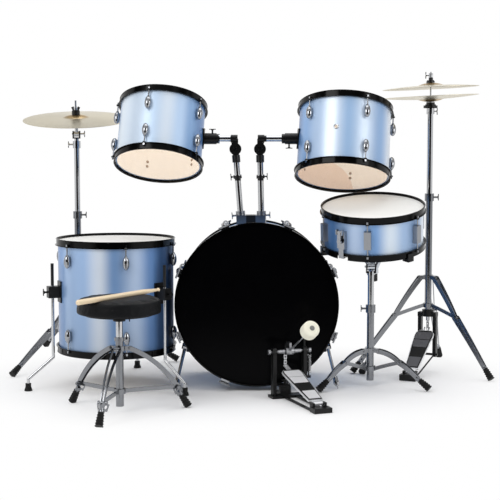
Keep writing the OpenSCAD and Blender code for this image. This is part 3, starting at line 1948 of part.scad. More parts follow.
module stand_feet() {
    color(rubber_black) {
        stand_boots(snare_at, snare_legs, snare_joint, snare_foot_r);
        stand_boots(hat_at, hat_legs, hat_joint, hat_foot_r);
        stand_boots(crash_at, crash_legs, crash_joint, crash_foot_r);
        stand_boots(throne_at, throne_legs, throne_joint, throne_foot_r);
        floor_legs()
            translate([floor_tom_foot_r, 0, 0])
                leg_foot();
    }
}

bass_shell();
bass_hoops();
bass_heads();
bass_lugs();
bass_claws();
bass_spur_brackets();
spur_left();
spur_right();
tom_holder_base();
tom_post_left();
tom_post_right();
tom_arm_left();
tom_arm_right();
left_tom_shell();
left_tom_hoops();
left_tom_heads();
left_tom_lugs();
left_tom_bracket();
right_tom_shell();
right_tom_hoops();
right_tom_heads();
right_tom_lugs();
right_tom_bracket();
floor_tom_shell();
floor_tom_hoops();
floor_tom_heads();
floor_tom_lugs();
floor_tom_leg_brackets();
floor_tom_legs();
snare_shell();
snare_hoops();
snare_heads();
snare_lugs();
snare_strainer();
snare_lever();
snare_stand_base();
snare_stand_tube();
snare_basket();
hihat_stand_base();
hihat_upper_tube();
hihat_bottom_cymbal();
hihat_pull_rod();
hihat_clutch();
hihat_top_cymbal();
hihat_footboard();
hihat_pedal_frame();
crash_stand_base();
crash_middle_tube();
crash_top_tube();
crash_rod();
crash_cymbal();
throne_base();
throne_post();
throne_seat_socket();
throne_seat();
pedal_frame();
pedal_footboard();
pedal_beater();
drumsticks();
stand_feet();
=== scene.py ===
"""Looks of an acoustic drum kit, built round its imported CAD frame."""

import json
import logging
import math
from dataclasses import dataclass, replace
from enum import Enum
from typing import Any, Sequence

import bmesh
import bpy
from bpy.types import Material, Mesh, Node, NodeSocket, NodeTree, Object
from mathutils import Euler, Matrix, Vector

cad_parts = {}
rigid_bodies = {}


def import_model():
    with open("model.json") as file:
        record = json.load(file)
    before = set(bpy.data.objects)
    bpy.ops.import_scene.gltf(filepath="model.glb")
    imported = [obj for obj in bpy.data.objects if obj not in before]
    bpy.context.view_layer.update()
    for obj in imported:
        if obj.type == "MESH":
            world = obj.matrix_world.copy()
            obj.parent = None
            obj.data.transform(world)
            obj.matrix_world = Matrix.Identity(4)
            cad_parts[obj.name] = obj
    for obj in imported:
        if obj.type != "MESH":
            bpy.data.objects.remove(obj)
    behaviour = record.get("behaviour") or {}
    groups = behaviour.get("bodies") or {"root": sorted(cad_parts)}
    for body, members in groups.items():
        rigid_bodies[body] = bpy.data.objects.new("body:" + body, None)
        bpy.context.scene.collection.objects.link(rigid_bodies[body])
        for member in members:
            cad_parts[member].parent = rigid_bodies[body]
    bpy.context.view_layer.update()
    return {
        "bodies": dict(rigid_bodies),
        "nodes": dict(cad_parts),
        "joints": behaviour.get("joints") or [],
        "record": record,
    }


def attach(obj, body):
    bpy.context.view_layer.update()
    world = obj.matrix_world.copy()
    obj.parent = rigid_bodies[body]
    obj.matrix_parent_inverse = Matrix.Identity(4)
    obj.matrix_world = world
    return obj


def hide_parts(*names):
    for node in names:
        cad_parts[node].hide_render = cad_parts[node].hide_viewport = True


LOG = logging.getLogger("drum_kit")
MM = 0.001
# From the design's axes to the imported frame's, in millimetres
SHIFT = (0.4, -23.4)

Triple = tuple[float, float, float]
Stops = tuple[tuple[float, str], ...]

# Node types that most trees use
MATH = "ShaderNodeMath"
VECTOR = "ShaderNodeVectorMath"
MIX = "ShaderNodeMix"
RANGE = "ShaderNodeMapRange"
SPLIT = "ShaderNodeSeparateXYZ"
COMBINE = "ShaderNodeCombineXYZ"
CIRCLE = "GeometryNodeCurvePrimitiveCircle"


def linear(code: str) -> tuple[float, float, float, float]:
    """Turns an sRGB hex colour to linear.

    Args:
        code: a hash and six hex digits.

    Returns:
        Red, green, blue and an alpha of one.
    """
    parts = [int(code[k : k + 2], 16) / 255 for k in (1, 3, 5)]
    lin = [c / 12.92 if c <= 0.04045 else ((c + 0.055) / 1.055) ** 2.4 for c in parts]
    return (lin[0], lin[1], lin[2], 1.0)


def live(source: Any) -> Any:
    """The first live output of a node; a socket or a value as it is.

    Args:
        source: a node, a socket or a value.

    Returns:
        What can be linked or set.
    """
    if isinstance(source, Node):
        return next(socket for socket in source.outputs if socket.enabled)
    return source


def add_node(
    tree: NodeTree,
    kind: str,
    inputs: dict[Any, Any] | None = None,
    stops: Stops = (),
    **settings: Any,
) -> Node:
    """Adds one node to a tree, with its settings, values and links.

    Args:
        tree: the shader or geometry tree.
        kind: the node's type name.
        inputs: values, or nodes or sockets to link, by input name or index.
        stops: a colour ramp's positions and hex colours.
        **settings: attributes of the node.

    Returns:
        The new node.
    """
    node = tree.nodes.new(kind)
    for key, value in settings.items():
        setattr(node, key, value)
    for key, value in (inputs or {}).items():
        value = live(value)
        if isinstance(value, NodeSocket):
            tree.links.new(value, node.inputs[key])
        else:
            node.inputs[key].default_value = value
    while stops and len(node.color_ramp.elements) < len(stops):
        node.color_ramp.elements.new(0.5)
    for stop, (position, code) in zip(node.color_ramp.elements if stops else (), stops):
        stop.position, stop.color = position, linear(code)
    return node


def fresh_tree(owner: Any) -> NodeTree:
    """Turns on the nodes of a material or world and empties its tree.

    Args:
        owner: the material or world.

    Returns:
        The empty tree.
    """
    owner.use_nodes = True
    owner.node_tree.nodes.clear()
    return owner.node_tree


def reach(tree: NodeTree, vector: Any, scale: Triple = (1.0, 1.0, 0.0)) -> Node:
    """Length of a vector with its axes scaled, by default its distance from Z.

    Args:
        tree: the tree.
        vector: the node or socket that gives the vector.
        scale: what each axis is multiplied by.

    Returns:
        The node that gives the length.
    """
    scaled = add_node(tree, VECTOR, {0: vector, 1: scale}, operation="MULTIPLY")
    return add_node(tree, VECTOR, {0: scaled}, operation="LENGTH")


def bearing(tree: NodeTree, vector: Any) -> Node:
    """Angle of a vector about Z from the audience side, in radians.

    Args:
        tree: the tree.
        vector: the node or socket that gives the vector.

    Returns:
        The node that gives the angle.
    """
    x, y, _ = add_node(tree, SPLIT, {0: vector}).outputs
    front = add_node(tree, MATH, {0: y, 1: -1.0}, operation="MULTIPLY")
    return add_node(tree, MATH, {0: x, 1: front}, operation="ARCTAN2")


def waves(tree: NodeTree, distance: Any, pitch_mm: float) -> Node:
    """Rounded ridges from nothing to one, a pitch apart along a distance in metres.

    Args:
        tree: the tree.
        distance: the node or socket that gives the distance.
        pitch_mm: from ridge to ridge.

    Returns:
        The node that gives the height.
    """
    turns = add_node(
        tree, MATH, {0: distance, 1: 2 * math.pi / (pitch_mm * MM)}, operation="MULTIPLY"
    )
    wave = add_node(tree, MATH, {0: turns}, operation="SINE")
    return add_node(tree, RANGE, {"Value": wave, "From Min": -1.0})


@dataclass(frozen=True)
class Place:
    """A piece's own axes: origin in millimetres of the design, turn in degrees about X, Y, Z."""

    at: Triple = (0.0, 0.0, 0.0)
    turn: Triple = (0.0, 0.0, 0.0)

    def matrix(self) -> Matrix:
        """Returns:
            The matrix.
        """
        at = Vector((self.at[0] + SHIFT[0], self.at[1] + SHIFT[1], self.at[2])) * MM
        turn = Euler([math.radians(a) for a in self.turn], "XYZ").to_matrix().to_4x4()
        return Matrix.Translation(at) @ turn

    def inside(self, x: float, y: float, z: float) -> "Place":
        """The place of a point in this one's axes, in millimetres, with the same turn."""
        spot = self.matrix() @ (Vector((x, y, z)) * MM) / MM
        return Place((spot.x - SHIFT[0], spot.y - SHIFT[1], spot.z), self.turn)

    def turned(self, x: float, y: float, z: float) -> "Place":
        """The same origin with another turn, in degrees."""
        return Place(self.at, (x, y, z))


LEFT_TOM = Place((-321.0, 90.0, 887.0), (-24.0, 3.8, 0.0))
RIGHT_TOM = Place((339.0, 90.0, 859.0), (-20.0, 3.8, 0.0))
FLOOR_TOM = Place((-475.0, -30.0, 325.0))
BASS = Place((23.0, 47.87, 292.602), (87.866, 0.0, 0.0))
SNARE_PIVOT = Place((426.0, -60.0, 425.0), (11.5, -2.0, 0.0))
SNARE = SNARE_PIVOT.inside(12.0, 41.0, 136.94)
SNARE_HUB = SNARE_PIVOT.inside(12.0, 41.0, 0.0)
SNARE_NUT = SNARE_PIVOT.inside(12.0, 41.0, -51.0)
HAT = Place((670.0, 237.0, 0.0))
HAT_PEDAL = HAT.turned(0.0, 0.0, -25.6)
HAT_BOARD = HAT_PEDAL.inside(0.0, -200.0, 26.0).turned(35.3, 0.0, -25.6)
HAT_BOTTOM = Place((670.0, 237.0, 1028.0), (0.0, -2.8, 0.0))
HAT_TOP = Place((670.0, 237.0, 1058.0), (0.0, -2.8, 0.0))
CRASH = Place((-670.0, 425.0, 889.0), (9.8, 0.0, 0.0))
THRONE = Place((-418.0, -492.0, 0.0))
PEDAL = Place((133.0, -247.0, 0.0), (0.0, 0.0, 21.0))
PEDAL_BOARD = PEDAL.inside(0.0, -240.0, 24.0).turned(15.75, 0.0, 21.0)
BEATER_HEAD = PEDAL.inside(0.0, -173.2, 252.0).turned(61.0, 0.0, 21.0)


# ------------------------------------------------------------------ finishes


@dataclass
class Draft:
    """A material being built."""

    material: Material
    shader: Node
    coords: Node

    @property
    def tree(self) -> NodeTree:
        """The material's node tree."""
        return self.material.node_tree

    def link(self, **sources: Any) -> None:
        """Links nodes to shader inputs; an underscore in a name stands for a space."""
        for key, source in sources.items():
            self.tree.links.new(live(source), self.shader.inputs[key.replace("_", " ")])


class Shape(Enum):
    """Shape of a zone of a piece."""

    BOX = "box"
    TUBE = "tube"
    BALL = "ball"


@dataclass(frozen=True)
class Look:
    """Colour and gloss of a zone."""

    colour: str
    roughness: float
    metallic: float = 0.0


@dataclass(frozen=True)
class Zone:
    """A part of a piece that has a look of its own.

    size is the half size along each axis, or radius, radius, half length of a tube, in millimetres.
    """

    shape: Shape
    place: Place
    size: Triple
    look: Look

    def mask(self, tree: NodeTree) -> Node:
        """A value that is one in the zone and nothing outside it.

        Args:
            tree: the material's tree.

        Returns:
            The node that gives the value.
        """
        coords = own_coordinates(tree, self.place)
        halves = [s * MM for s in self.size]
        unit = add_node(tree, VECTOR, {0: coords, 1: halves}, operation="DIVIDE")
        if self.shape is Shape.BALL:
            most = reach(tree, unit, (1.0, 1.0, 1.0))
        else:
            apart = add_node(tree, VECTOR, {0: unit}, operation="ABSOLUTE")
            x, y, z = add_node(tree, SPLIT, {0: apart}).outputs
            if self.shape is Shape.TUBE:
                across = reach(tree, unit)
            else:
                across = add_node(tree, MATH, {0: x, 1: y}, operation="MAXIMUM")
            most = add_node(tree, MATH, {0: across, 1: z}, operation="MAXIMUM")
        return add_node(tree, MATH, {0: most, 1: 1.0}, operation="LESS_THAN")


def own_coordinates(tree: NodeTree, place: Place) -> Node:
    """Object coordinates in a place's own axes, in metres.

    Args:
        tree: the material's tree.
        place: whose axes they are.

    Returns:
        The node that gives the vector.
    """
    where, turn, _ = place.matrix().inverted().decompose()
    source = add_node(tree, "ShaderNodeTexCoord").outputs["Object"]
    values = {"Vector": source, "Location": where, "Rotation": turn.to_euler("XYZ")}
    return add_node(tree, "ShaderNodeMapping", values)


@dataclass(frozen=True)
class Finish:
    """What every finish has: a base colour, a gloss and the axes of its pattern."""

    name: str
    colour: str
    roughness: float
    metallic: float = 0.0
    place: Place = Place()
    grain_mm: float = 4.0
    mottle: float = 0.06
    relief_mm: float = 0.0
    coat: float = 0.0
    specular: float = 0.5
    zones: tuple[Zone, ...] = ()

    def draft(self) -> Draft:
        """Starts the material with its Principled shader and its own coordinates.

        Returns:
            The draft.
        """
        material = bpy.data.materials.new(self.name)
        tree = fresh_tree(material)
        values = {
            "Metallic": self.metallic,
            "Coat Weight": self.coat,
            "Coat Roughness": 0.08,
            "Specular IOR Level": self.specular,
        }
        shader = add_node(tree, "ShaderNodeBsdfPrincipled", values)
        add_node(tree, "ShaderNodeOutputMaterial", {0: shader})
        return Draft(material, shader, own_coordinates(tree, self.place))

    def stretch(self) -> Triple:
        """How much finer the grain is along each axis."""
        return (1.0, 1.0, 1.0)

    def grain(self, draft: Draft) -> Node:
        """The finish's surface noise, about a half on average.

        Args:
            draft: the material being built.

        Returns:
            The node that gives the noise.
        """
        tree = draft.tree
        vector = add_node(
            tree, VECTOR, {0: draft.coords, 1: self.stretch()}, operation="MULTIPLY"
        )
        scale = 1.0 / (self.grain_mm * MM)
        values = {"Vector": vector, "Scale": scale, "Detail": 3.0, "Roughness": 0.55}
        return add_node(tree, "ShaderNodeTexNoise", values)

    def tint(self, draft: Draft) -> Node:
        """The colour before zones and mottle.

        Args:
            draft: the material being built.

        Returns:
            The node that gives the colour.
        """
        plain_colour = add_node(draft.tree, "ShaderNodeRGB")
        plain_colour.outputs[0].default_value = linear(self.colour)
        return plain_colour

    def around(self, tree: NodeTree, grain: Node, middle: float, share: float) -> Node:
        """A value that follows the grain.

        Args:
            tree: the material's tree.
            grain: the surface noise.
            middle: the value on average.
            share: how far it strays to each side, as a share of it.

        Returns:
            The node that gives the value.
        """
        low, high = middle * (1.0 - share), middle * (1.0 + share)
        return add_node(tree, RANGE, {"Value": grain, "To Min": low, "To Max": high})

    def build(self) -> Material:
        """Builds the material.

        Returns:
            The finished material.
        """
        draft = self.draft()
        tree = draft.tree
        grain = self.grain(draft)
        colour = self.tint(draft)
        shade = self.around(tree, grain, 1.0, self.mottle)
        colour = add_node(tree, VECTOR, {0: colour, 1: shade}, operation="MULTIPLY")
        rough = self.around(tree, grain, self.roughness, 0.15)
        metal: Any = self.metallic
        for zone in self.zones:
            mask, look = zone.mask(tree), zone.look
            colour = add_node(
                tree, MIX, {0: mask, 6: colour, 7: linear(look.colour)}, data_type="RGBA"
            )
            rough = add_node(tree, MIX, {0: mask, 2: rough, 3: look.roughness})
            metal = add_node(tree, MIX, {0: mask, 2: metal, 3: look.metallic})
        draft.link(Base_Color=colour, Roughness=rough)
        if self.zones:
            draft.link(Metallic=metal)
        if self.relief_mm:
            height = self.height(draft, grain)
            values = {"Height": height, "Distance": self.relief_mm * MM}
            draft.link(Normal=add_node(tree, "ShaderNodeBump", values))
        self.last(draft)
        return draft.material

    def height(self, draft: Draft, grain: Node) -> Node:
        """Height of the relief, from nothing to one."""
        return grain

    def last(self, draft: Draft) -> None:
        """Anything a finish still changes once its parts are linked."""


@dataclass(frozen=True)
class SatinWrap(Finish):
    """Metallic vinyl wrap over a maple ply shell: a satin blue outside, bare wood inside.

    bands are (degrees round the drum from the audience side, colour): painted reflections, soft
    bands of light and shade fixed round the drum.
    """

    inner_mm: float = 150.0
    half_depth_mm: float = 100.0
    # Painted shade: how bright the wrap's lower end is against its upper end
    low: float = 0.92
    # Painted light: how brightly the wood inside glows
    glow: float = 0.0
    # Painted shadow: a darker patch on the wood inside
    patch: Zone | None = None
    bands: Stops = ()

    def stretch(self) -> Triple:
        """The flake runs in streaks down the drum."""
        return (1.0, 1.0, 0.05)

    def tint(self, draft: Draft) -> Node:
        """Painted reflections, soft bands of light and shade round the drum, and wood inside it.

        Args:
            draft: the material being built.

        Returns:
            The node that gives the colour.
        """
        tree, coords = draft.tree, draft.coords
        angle = bearing(tree, coords)
        share = add_node(tree, RANGE, {"Value": angle, "From Min": -math.pi, "From Max": math.pi})
        # Painted reflections: each angle round the drum gets its band of light or shade
        stops = tuple((degrees / 360 + 0.5, code) for degrees, code in self.bands)
        ramp = add_node(tree, "ShaderNodeValToRGB", {0: share}, stops)
        ramp.color_ramp.interpolation = "EASE"
        # Painted shade: the blue darkens from the top of the drum to low at its bottom
        deep = self.half_depth_mm * MM
        height = add_node(tree, SPLIT, {0: coords}).outputs[2]
        values = {"Value": height, "From Min": -deep, "From Max": deep, "To Min": self.low}
        painted_shade_fall = add_node(tree, RANGE, values)
        blue = add_node(tree, VECTOR, {0: ramp, 1: painted_shade_fall}, operation="MULTIPLY")
        edge = {0: reach(tree, coords), 1: self.inner_mm * MM}
        wood = add_node(tree, MATH, edge, operation="LESS_THAN")
        # The plies' figure lies in flat streaks round the drum
        board = add_node(tree, VECTOR, {0: coords, 1: (1.0, 1.0, 22.0)}, operation="MULTIPLY")
        figure = add_node(
            tree, "ShaderNodeTexNoise", {"Vector": board, "Scale": 9.0, "Detail": 4.0}
        )
        plies = {0: figure, 6: linear("#F2E6D6"), 7: linear("#F9F1E7")}
        veneer_and_shadow = add_node(tree, MIX, plies, data_type="RGBA")
        # Painted shadow: a darker patch mixed into the wood inside
        if self.patch is not None:
            shadow_mix = {0: self.patch.mask(tree), 6: veneer_and_shadow, 7: linear(self.patch.look.colour)}
            veneer_and_shadow = add_node(tree, MIX, shadow_mix, data_type="RGBA")
        if self.glow:
            # Painted light: the wood inside glows, standing in for the daylight that the white
            # heads let into the drum, which a solid film can't
            painted_glow = add_node(tree, VECTOR, {0: veneer_and_shadow, 1: wood}, operation="MULTIPLY")
            draft.link(Emission_Color=painted_glow)
            draft.shader.inputs["Emission Strength"].default_value = self.glow
        return add_node(tree, MIX, {0: wood, 6: blue, 7: veneer_and_shadow}, data_type="RGBA")


@dataclass(frozen=True)
class DrumFilm(Finish):
    """Polyester heads: a milky coated film to strike and a clear one below it."""

    clear_below: bool = True
    clear_alpha: float = 0.1

    def last(self, draft: Draft) -> None:
        """Lets the light through the lower film."""
        if self.clear_below:
            height = add_node(draft.tree, SPLIT, {0: draft.coords}).outputs[2]
            values = {"Value": height, "From Min": -MM, "From Max": MM, "To Min": self.clear_alpha}
            draft.link(Alpha=add_node(draft.tree, RANGE, values))


@dataclass(frozen=True)
class TurnedBronze(Finish):
    """Bell bronze, lathed: fine turning rings and a satin sheen that runs round the cymbal."""

    ring_mm: float = 2.2
    bell_mm: float = 48.0
    bell: str = "#B99C6B"

    def tint(self, draft: Draft) -> Node:
        """Paler bow, browner bell.

        Args:
            draft: the material being built.

        Returns:
            The node that gives the colour.
        """
        tree, bell = draft.tree, self.bell_mm * MM
        out = reach(tree, draft.coords)
        edge = {"Value": out, "From Min": bell * 0.8, "From Max": bell * 1.1}
        near = add_node(tree, RANGE, edge)
        colours = {0: near, 6: linear(self.bell), 7: linear(self.colour)}
        return add_node(tree, MIX, colours, data_type="RGBA")

    def height(self, draft: Draft, grain: Node) -> Node:
        """Turning rings, drawn coarser than the real half millimetre so that they show."""
        return waves(draft.tree, reach(draft.tree, draft.coords), self.ring_mm)

    def last(self, draft: Draft) -> None:
        """Stretches the highlights round the axis."""
        draft.shader.inputs["Anisotropic"].default_value = 0.5


@dataclass(frozen=True)
class Brushed(Finish):
    """Wood or metal whose grain runs along one axis."""

    along: Triple = (1.0, 1.0, 0.05)

    def stretch(self) -> Triple:
        """Grain drawn out along one axis."""
        return self.along


@dataclass(frozen=True)
class RibbedPanel(Finish):
    """An inlay with straight cross ribs."""

    rib_mm: float = 2.0

    def height(self, draft: Draft, grain: Node) -> Node:
        """Rounded ribs across the footboard."""
        along = add_node(draft.tree, SPLIT, {0: draft.coords}).outputs[1]
        return waves(draft.tree, along, self.rib_mm)


# Chromed steel tube: a mirror with a little haze, so the room shows in it
CHROME = Finish("chromed_steel", "#C9CACC", 0.12, 1.0, grain_mm=18.0, mottle=0.05)
# Rolled steel strap, chromed: the same mirror with a darker, more mottled colour, painted shade for
# the darker reflections on the strap legs
PAINTED_SHADE_STRAP = Finish("chromed_steel_strap_painted_shade", "#85878B", 0.17, 1.0, grain_mm=12.0, mottle=0.12)
# Die-cast zinc, chromed: the same mirror over a slightly uneven casting
CAST_CHROME = Finish(
    "chromed_die_cast_zinc", "#A2A4A8", 0.16, 1.0, grain_mm=9.0, mottle=0.07, relief_mm=0.05
)
# Satin nickel plate: greyer and softer than chrome
NICKEL = Finish("satin_nickel_plate", "#9A9CA0", 0.3, 1.0, grain_mm=5.0, mottle=0.08)
# Lacquered steel hoops: deep black under a clear gloss
HOOP_LACQUER = Finish(
    "black_gloss_lacquer", "#050505", 0.12, grain_mm=25.0, mottle=0.2, specular=0.14
)
# Gloss black film on the bass drum's front head: a dark, shallow shine
BASS_FILM = Finish(
    "black_polyester_film", "#030304", 0.2, grain_mm=60.0, mottle=0.25, specular=0.05
)
# Powder-coated steel: dull black with a fine orange peel
POWDER = Finish(
    "black_powder_coat", "#0B0B0C", 0.36, grain_mm=1.2, mottle=0.15, relief_mm=0.08, specular=0.3
)
# Moulded rubber: soft black, nearly no shine
RUBBER = Finish(
    "moulded_black_rubber", "#0B0B0B", 0.6, grain_mm=2.0, mottle=0.2, relief_mm=0.15, specular=0.3
)
# Zinc-plated steel screws, yellowed: a dull tan metal
SCREW = Finish("zinc_plated_steel", "#A98A66", 0.45, 0.4, grain_mm=2.0, mottle=0.15)
# Cast bronze, lathed: pale gold, satin along the turning rings
BRONZE = TurnedBronze(
    "bell_bronze", "#DDD4BC", 0.3, 0.85, grain_mm=30.0, mottle=0.05, relief_mm=0.05
)
# Coated polyester: a milk-white striking face with a fine tooth; the lower film is clear
FILM = DrumFilm("polyester_film", "#F3F3F0", 0.55, grain_mm=1.0, mottle=0.02, relief_mm=0.03)
# Metallic vinyl wrap: satin blue flake under a thin clear coat
WRAP = SatinWrap("blue_satin_wrap", "#7FA9DC", 0.34, 0.2, grain_mm=1.4, mottle=0.03, coat=0.2)
# Grained vinyl over foam: charcoal with a soft low sheen
VINYL = Finish(
    "grained_charcoal_vinyl", "#121315", 0.5, grain_mm=1.6, mottle=0.12, relief_mm=0.25,
    specular=0.12,
)
# Turned maple: pale, satin, grain along the stick
MAPLE = Brushed(
    "turned_maple", "#EBD6B4", 0.42, grain_mm=3.0, mottle=0.12, along=(0.12, 1.0, 1.0)
)
# Cast aluminium: pale, satin, fine sand texture
CAST_ALUMINIUM = Finish("satin_cast_aluminium", "#E3E4E6", 0.34, 0.5, grain_mm=1.0, relief_mm=0.05)
# Ribbed aluminium inlay: fine cross ribs, drawn at their real two millimetres
BRIGHT_RIBS = RibbedPanel(
    "ribbed_bright_aluminium", "#E4E4E6", 0.45, 0.2, PEDAL_BOARD, relief_mm=0.4
)
# The same ribs moulded in grey rubber
GREY_RIBS = RibbedPanel("ribbed_grey_rubber", "#5E5E61", 0.6, 0.0, HAT_BOARD, relief_mm=0.4)

# Black moulded plastic and bright chrome, where one node holds them beside something else
BLACK_PART = Look("#0E0E0F", 0.35)
BRIGHT_PART = Look("#C9CCD1", 0.14, 1.0)


def with_part(
    base: Finish, name: str, look: Look, shape: Shape, place: Place, size: Triple
) -> Finish:
    """A finish with one more zone.

    Args:
        base: the finish elsewhere.
        name: the new finish's name.
        look: the zone's look.
        shape: the zone's shape.
        place: the zone's axes.
        size: its half sizes in millimetres.

    Returns:
        The new finish.
    """
    return replace(base, name=name, zones=(*base.zones, Zone(shape, place, size, look)))


def wrap(
    drum: str, place: Place, inner_mm: float, half_depth_mm: float, low: float, bands: Stops,
    **more: Any,
) -> SatinWrap:
    """The blue wrap of one drum.

    Args:
        drum: the drum's name.
        place: the drum's axes.
        inner_mm: radius at which the wood inside begins.
        half_depth_mm: half the drum's depth.
        low: how bright the wrap's lower end is, against its upper end: painted shade, darker
            towards the bottom.
        bands: degrees round from the audience side, and a colour: painted reflections of light and
            shade.
        **more: a patch of painted shadow on the wood inside, and glow, painted light: how brightly
            the wood inside glows, as if daylight soaked through the heads.

    Returns:
        The finish.
    """
    # Painted reflections on the back of the drum, light and shade in turn
    back = ((-180.0, "#6F9AD0"), (-140.0, "#A9C6EA"), (-110.0, "#5F8BC4"))
    far = ((110.0, "#5F8BC4"), (140.0, "#A9C6EA"), (180.0, "#6F9AD0"))
    name = f"{WRAP.name}_{drum}"
    sizes = {"inner_mm": inner_mm, "half_depth_mm": half_depth_mm, "low": low}
    return replace(WRAP, name=name, place=place, bands=(*back, *bands, *far), **sizes, **more)


# Painted shadow: a darker, pinker patch on the wood inside the right tom, where the near wall's
# shadow falls on the far wall
PAINTED_SHADOW_PATCH = Zone(
    Shape.BALL,
    RIGHT_TOM.inside(-68.0, 160.0, -140.0),
    (121.0, 400.0, 121.0),
    Look("#EBD3BE", 0.4),
)
# Painted reflections: the light and dark bands round each drum's wrap
LEFT_PAINTED_BANDS = (
    (-85, "#8FB0DA"), (-62, "#E2EEF9"), (-30, "#D3E3F4"), (-8, "#C2D8F0"),
    (10, "#DCE9F7"), (28, "#B9D2EF"), (46, "#8FB3DE"), (70, "#5C86BC"),
)
RIGHT_PAINTED_BANDS = (
    (-85, "#4F78AE"), (-62, "#92B8E6"), (-40, "#BAD2EF"), (-20, "#E0EBF8"),
    (0, "#A4C5EA"), (20, "#D2E2F4"), (46, "#93B5DF"), (70, "#E0EAF6"),
)
FLOOR_PAINTED_BANDS = (
    (-85, "#5A80B4"), (-66, "#6F9AD2"), (-48, "#A6C2E6"), (-28, "#9DBBE2"), (-10, "#DDE8F6"),
    (4, "#7FA4D4"), (24, "#B4CAE8"), (42, "#5F89C0"), (58, "#38557E"), (74, "#0E1B33"),
)
SNARE_PAINTED_BANDS = (
    (-85, "#5F7FAC"), (-58, "#4A76AC"), (-42, "#86A5CE"), (-26, "#B7CDEB"), (-4, "#79A5DA"),
    (14, "#DCE9F6"), (32, "#A5C1E4"), (52, "#7E9FCA"), (70, "#DDE8F4"),
)
BASS_PAINTED_BANDS = ((-60, "#86ADE0"), (0, "#C4D8F1"), (60, "#86ADE0"))
WRAPS = {
    "left_tom": wrap("left_tom", LEFT_TOM, 148.0, 114.0, 0.94, LEFT_PAINTED_BANDS, glow=0.32),
    "right_tom": wrap(
        "right_tom", RIGHT_TOM, 160.5, 126.0, 0.94, RIGHT_PAINTED_BANDS, glow=0.26, patch=PAINTED_SHADOW_PATCH
    ),
    "floor_tom": wrap("floor_tom", FLOOR_TOM, 198.5, 191.0, 0.72, FLOOR_PAINTED_BANDS),
    "snare": wrap("snare", SNARE, 171.5, 68.0, 0.9, SNARE_PAINTED_BANDS),
    "bass": wrap("bass", BASS, 271.5, 176.0, 1.0, BASS_PAINTED_BANDS),
}


# ------------------------------------------------------------------ meshes


def new_object(name: str, data: Any) -> Object:
    """Adds an object to the scene.

    Args:
        name: its name.
        data: its mesh, lamp or camera.

    Returns:
        The object.
    """
    made = bpy.data.objects.new(name, data)
    bpy.context.scene.collection.objects.link(made)
    return made


def to_mesh(name: str, shape: bmesh.types.BMesh) -> Mesh:
    """Turns a shape into a mesh and frees it.

    Args:
        name: the mesh's name.
        shape: the shape.

    Returns:
        The mesh.
    """
    mesh = bpy.data.meshes.new(name)
    shape.to_mesh(mesh)
    shape.free()
    return mesh


def to_object(name: str, mesh: Mesh, body: str, *replaced: str) -> Object:
    """Puts a finished mesh in the scene, on its body, in place of CAD nodes.

    Args:
        name: the piece's name.
        body: the body it rides on.
        *replaced: CAD nodes that it stands for.

    Returns:
        The object.
    """
    piece = new_object(name, mesh)
    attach(piece, body)
    if replaced:
        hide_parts(*replaced)
    LOG.info("%s: %d faces on %s", name, len(mesh.polygons), body)
    return piece


def smooth(mesh: Mesh, degrees: float = 35.0) -> Mesh:
    """Shades a mesh smooth, with edges sharper than an angle kept crisp.

    Args:
        mesh: the mesh.
        degrees: the angle.

    Returns:
        The same mesh.
    """
    mesh.shade_smooth()
    mesh.set_sharp_from_angle(angle=math.radians(degrees))
    return mesh


def lathe(
    name: str, profile: Sequence[tuple[float, float]], matrix: Matrix, around: int = 96
) -> Mesh:
    """Turns a closed profile round the Z axis of a matrix.

    Args:
        name: the mesh's name.
        profile: (radius, height) points in millimetres, a closed ring that runs anticlockwise.
        around: how many steps make a full turn.
    """
    shape = bmesh.new()
    rings = []
    for k in range(around):
        angle = 2 * math.pi * k / around
        spots = [Vector((r * math.cos(angle), r * math.sin(angle), z)) * MM for r, z in profile]
        rings.append([shape.verts.new(matrix @ spot) for spot in spots])
    for k in range(around):
        here, there = rings[k], rings[(k + 1) % around]
        for j in range(len(profile)):
            n = (j + 1) % len(profile)
            shape.faces.new((here[j], there[j], there[n], here[n]))
    bmesh.ops.remove_doubles(shape, verts=shape.verts, dist=1e-6)
    bmesh.ops.recalc_face_normals(shape, faces=shape.faces)
    return to_mesh(name, shape)


def grow(name: str, tree: NodeTree, values: dict[str, Any], matrix: Matrix) -> Mesh:
    """Runs a geometry tree once and returns its result as a plain mesh.

    Args:
        name: the mesh's name.
        tree: the geometry tree.
        values: its inputs by name.
    """
    host = new_object(name, bpy.data.meshes.new(name + "_seed"))
    modifier = host.modifiers.new(name, "NODES")
    modifier.node_group = tree
    for item in tree.interface.items_tree:
        if item.item_type == "SOCKET" and item.in_out == "INPUT" and item.name in values:
            modifier[item.identifier] = values[item.name]
    graph = bpy.context.evaluated_depsgraph_get()
    mesh = bpy.data.meshes.new_from_object(host.evaluated_get(graph))
    mesh.name = name
    host.modifiers.clear()
    bpy.data.objects.remove(host)
    mesh.transform(matrix)
    return mesh


def join(name: str, meshes: Sequence[Mesh]) -> Mesh:
    """Joins meshes into one and keeps each one's materials.

    Args:
        name: the new mesh's name.
        meshes: the meshes to join.

    Returns:
        The joined mesh.
    """
    whole = bmesh.new()
    materials: list[Material] = []
    for mesh in meshes:
        start = len(whole.faces)
        whole.from_mesh(mesh)
        whole.faces.ensure_lookup_table()
        for face in whole.faces[start:]:
            material = mesh.materials[face.material_index]
            if material not in materials:
                materials.append(material)
            face.material_index = materials.index(material)
    out = to_mesh(name, whole)
    for material in materials:
        out.materials.append(material)
    return out


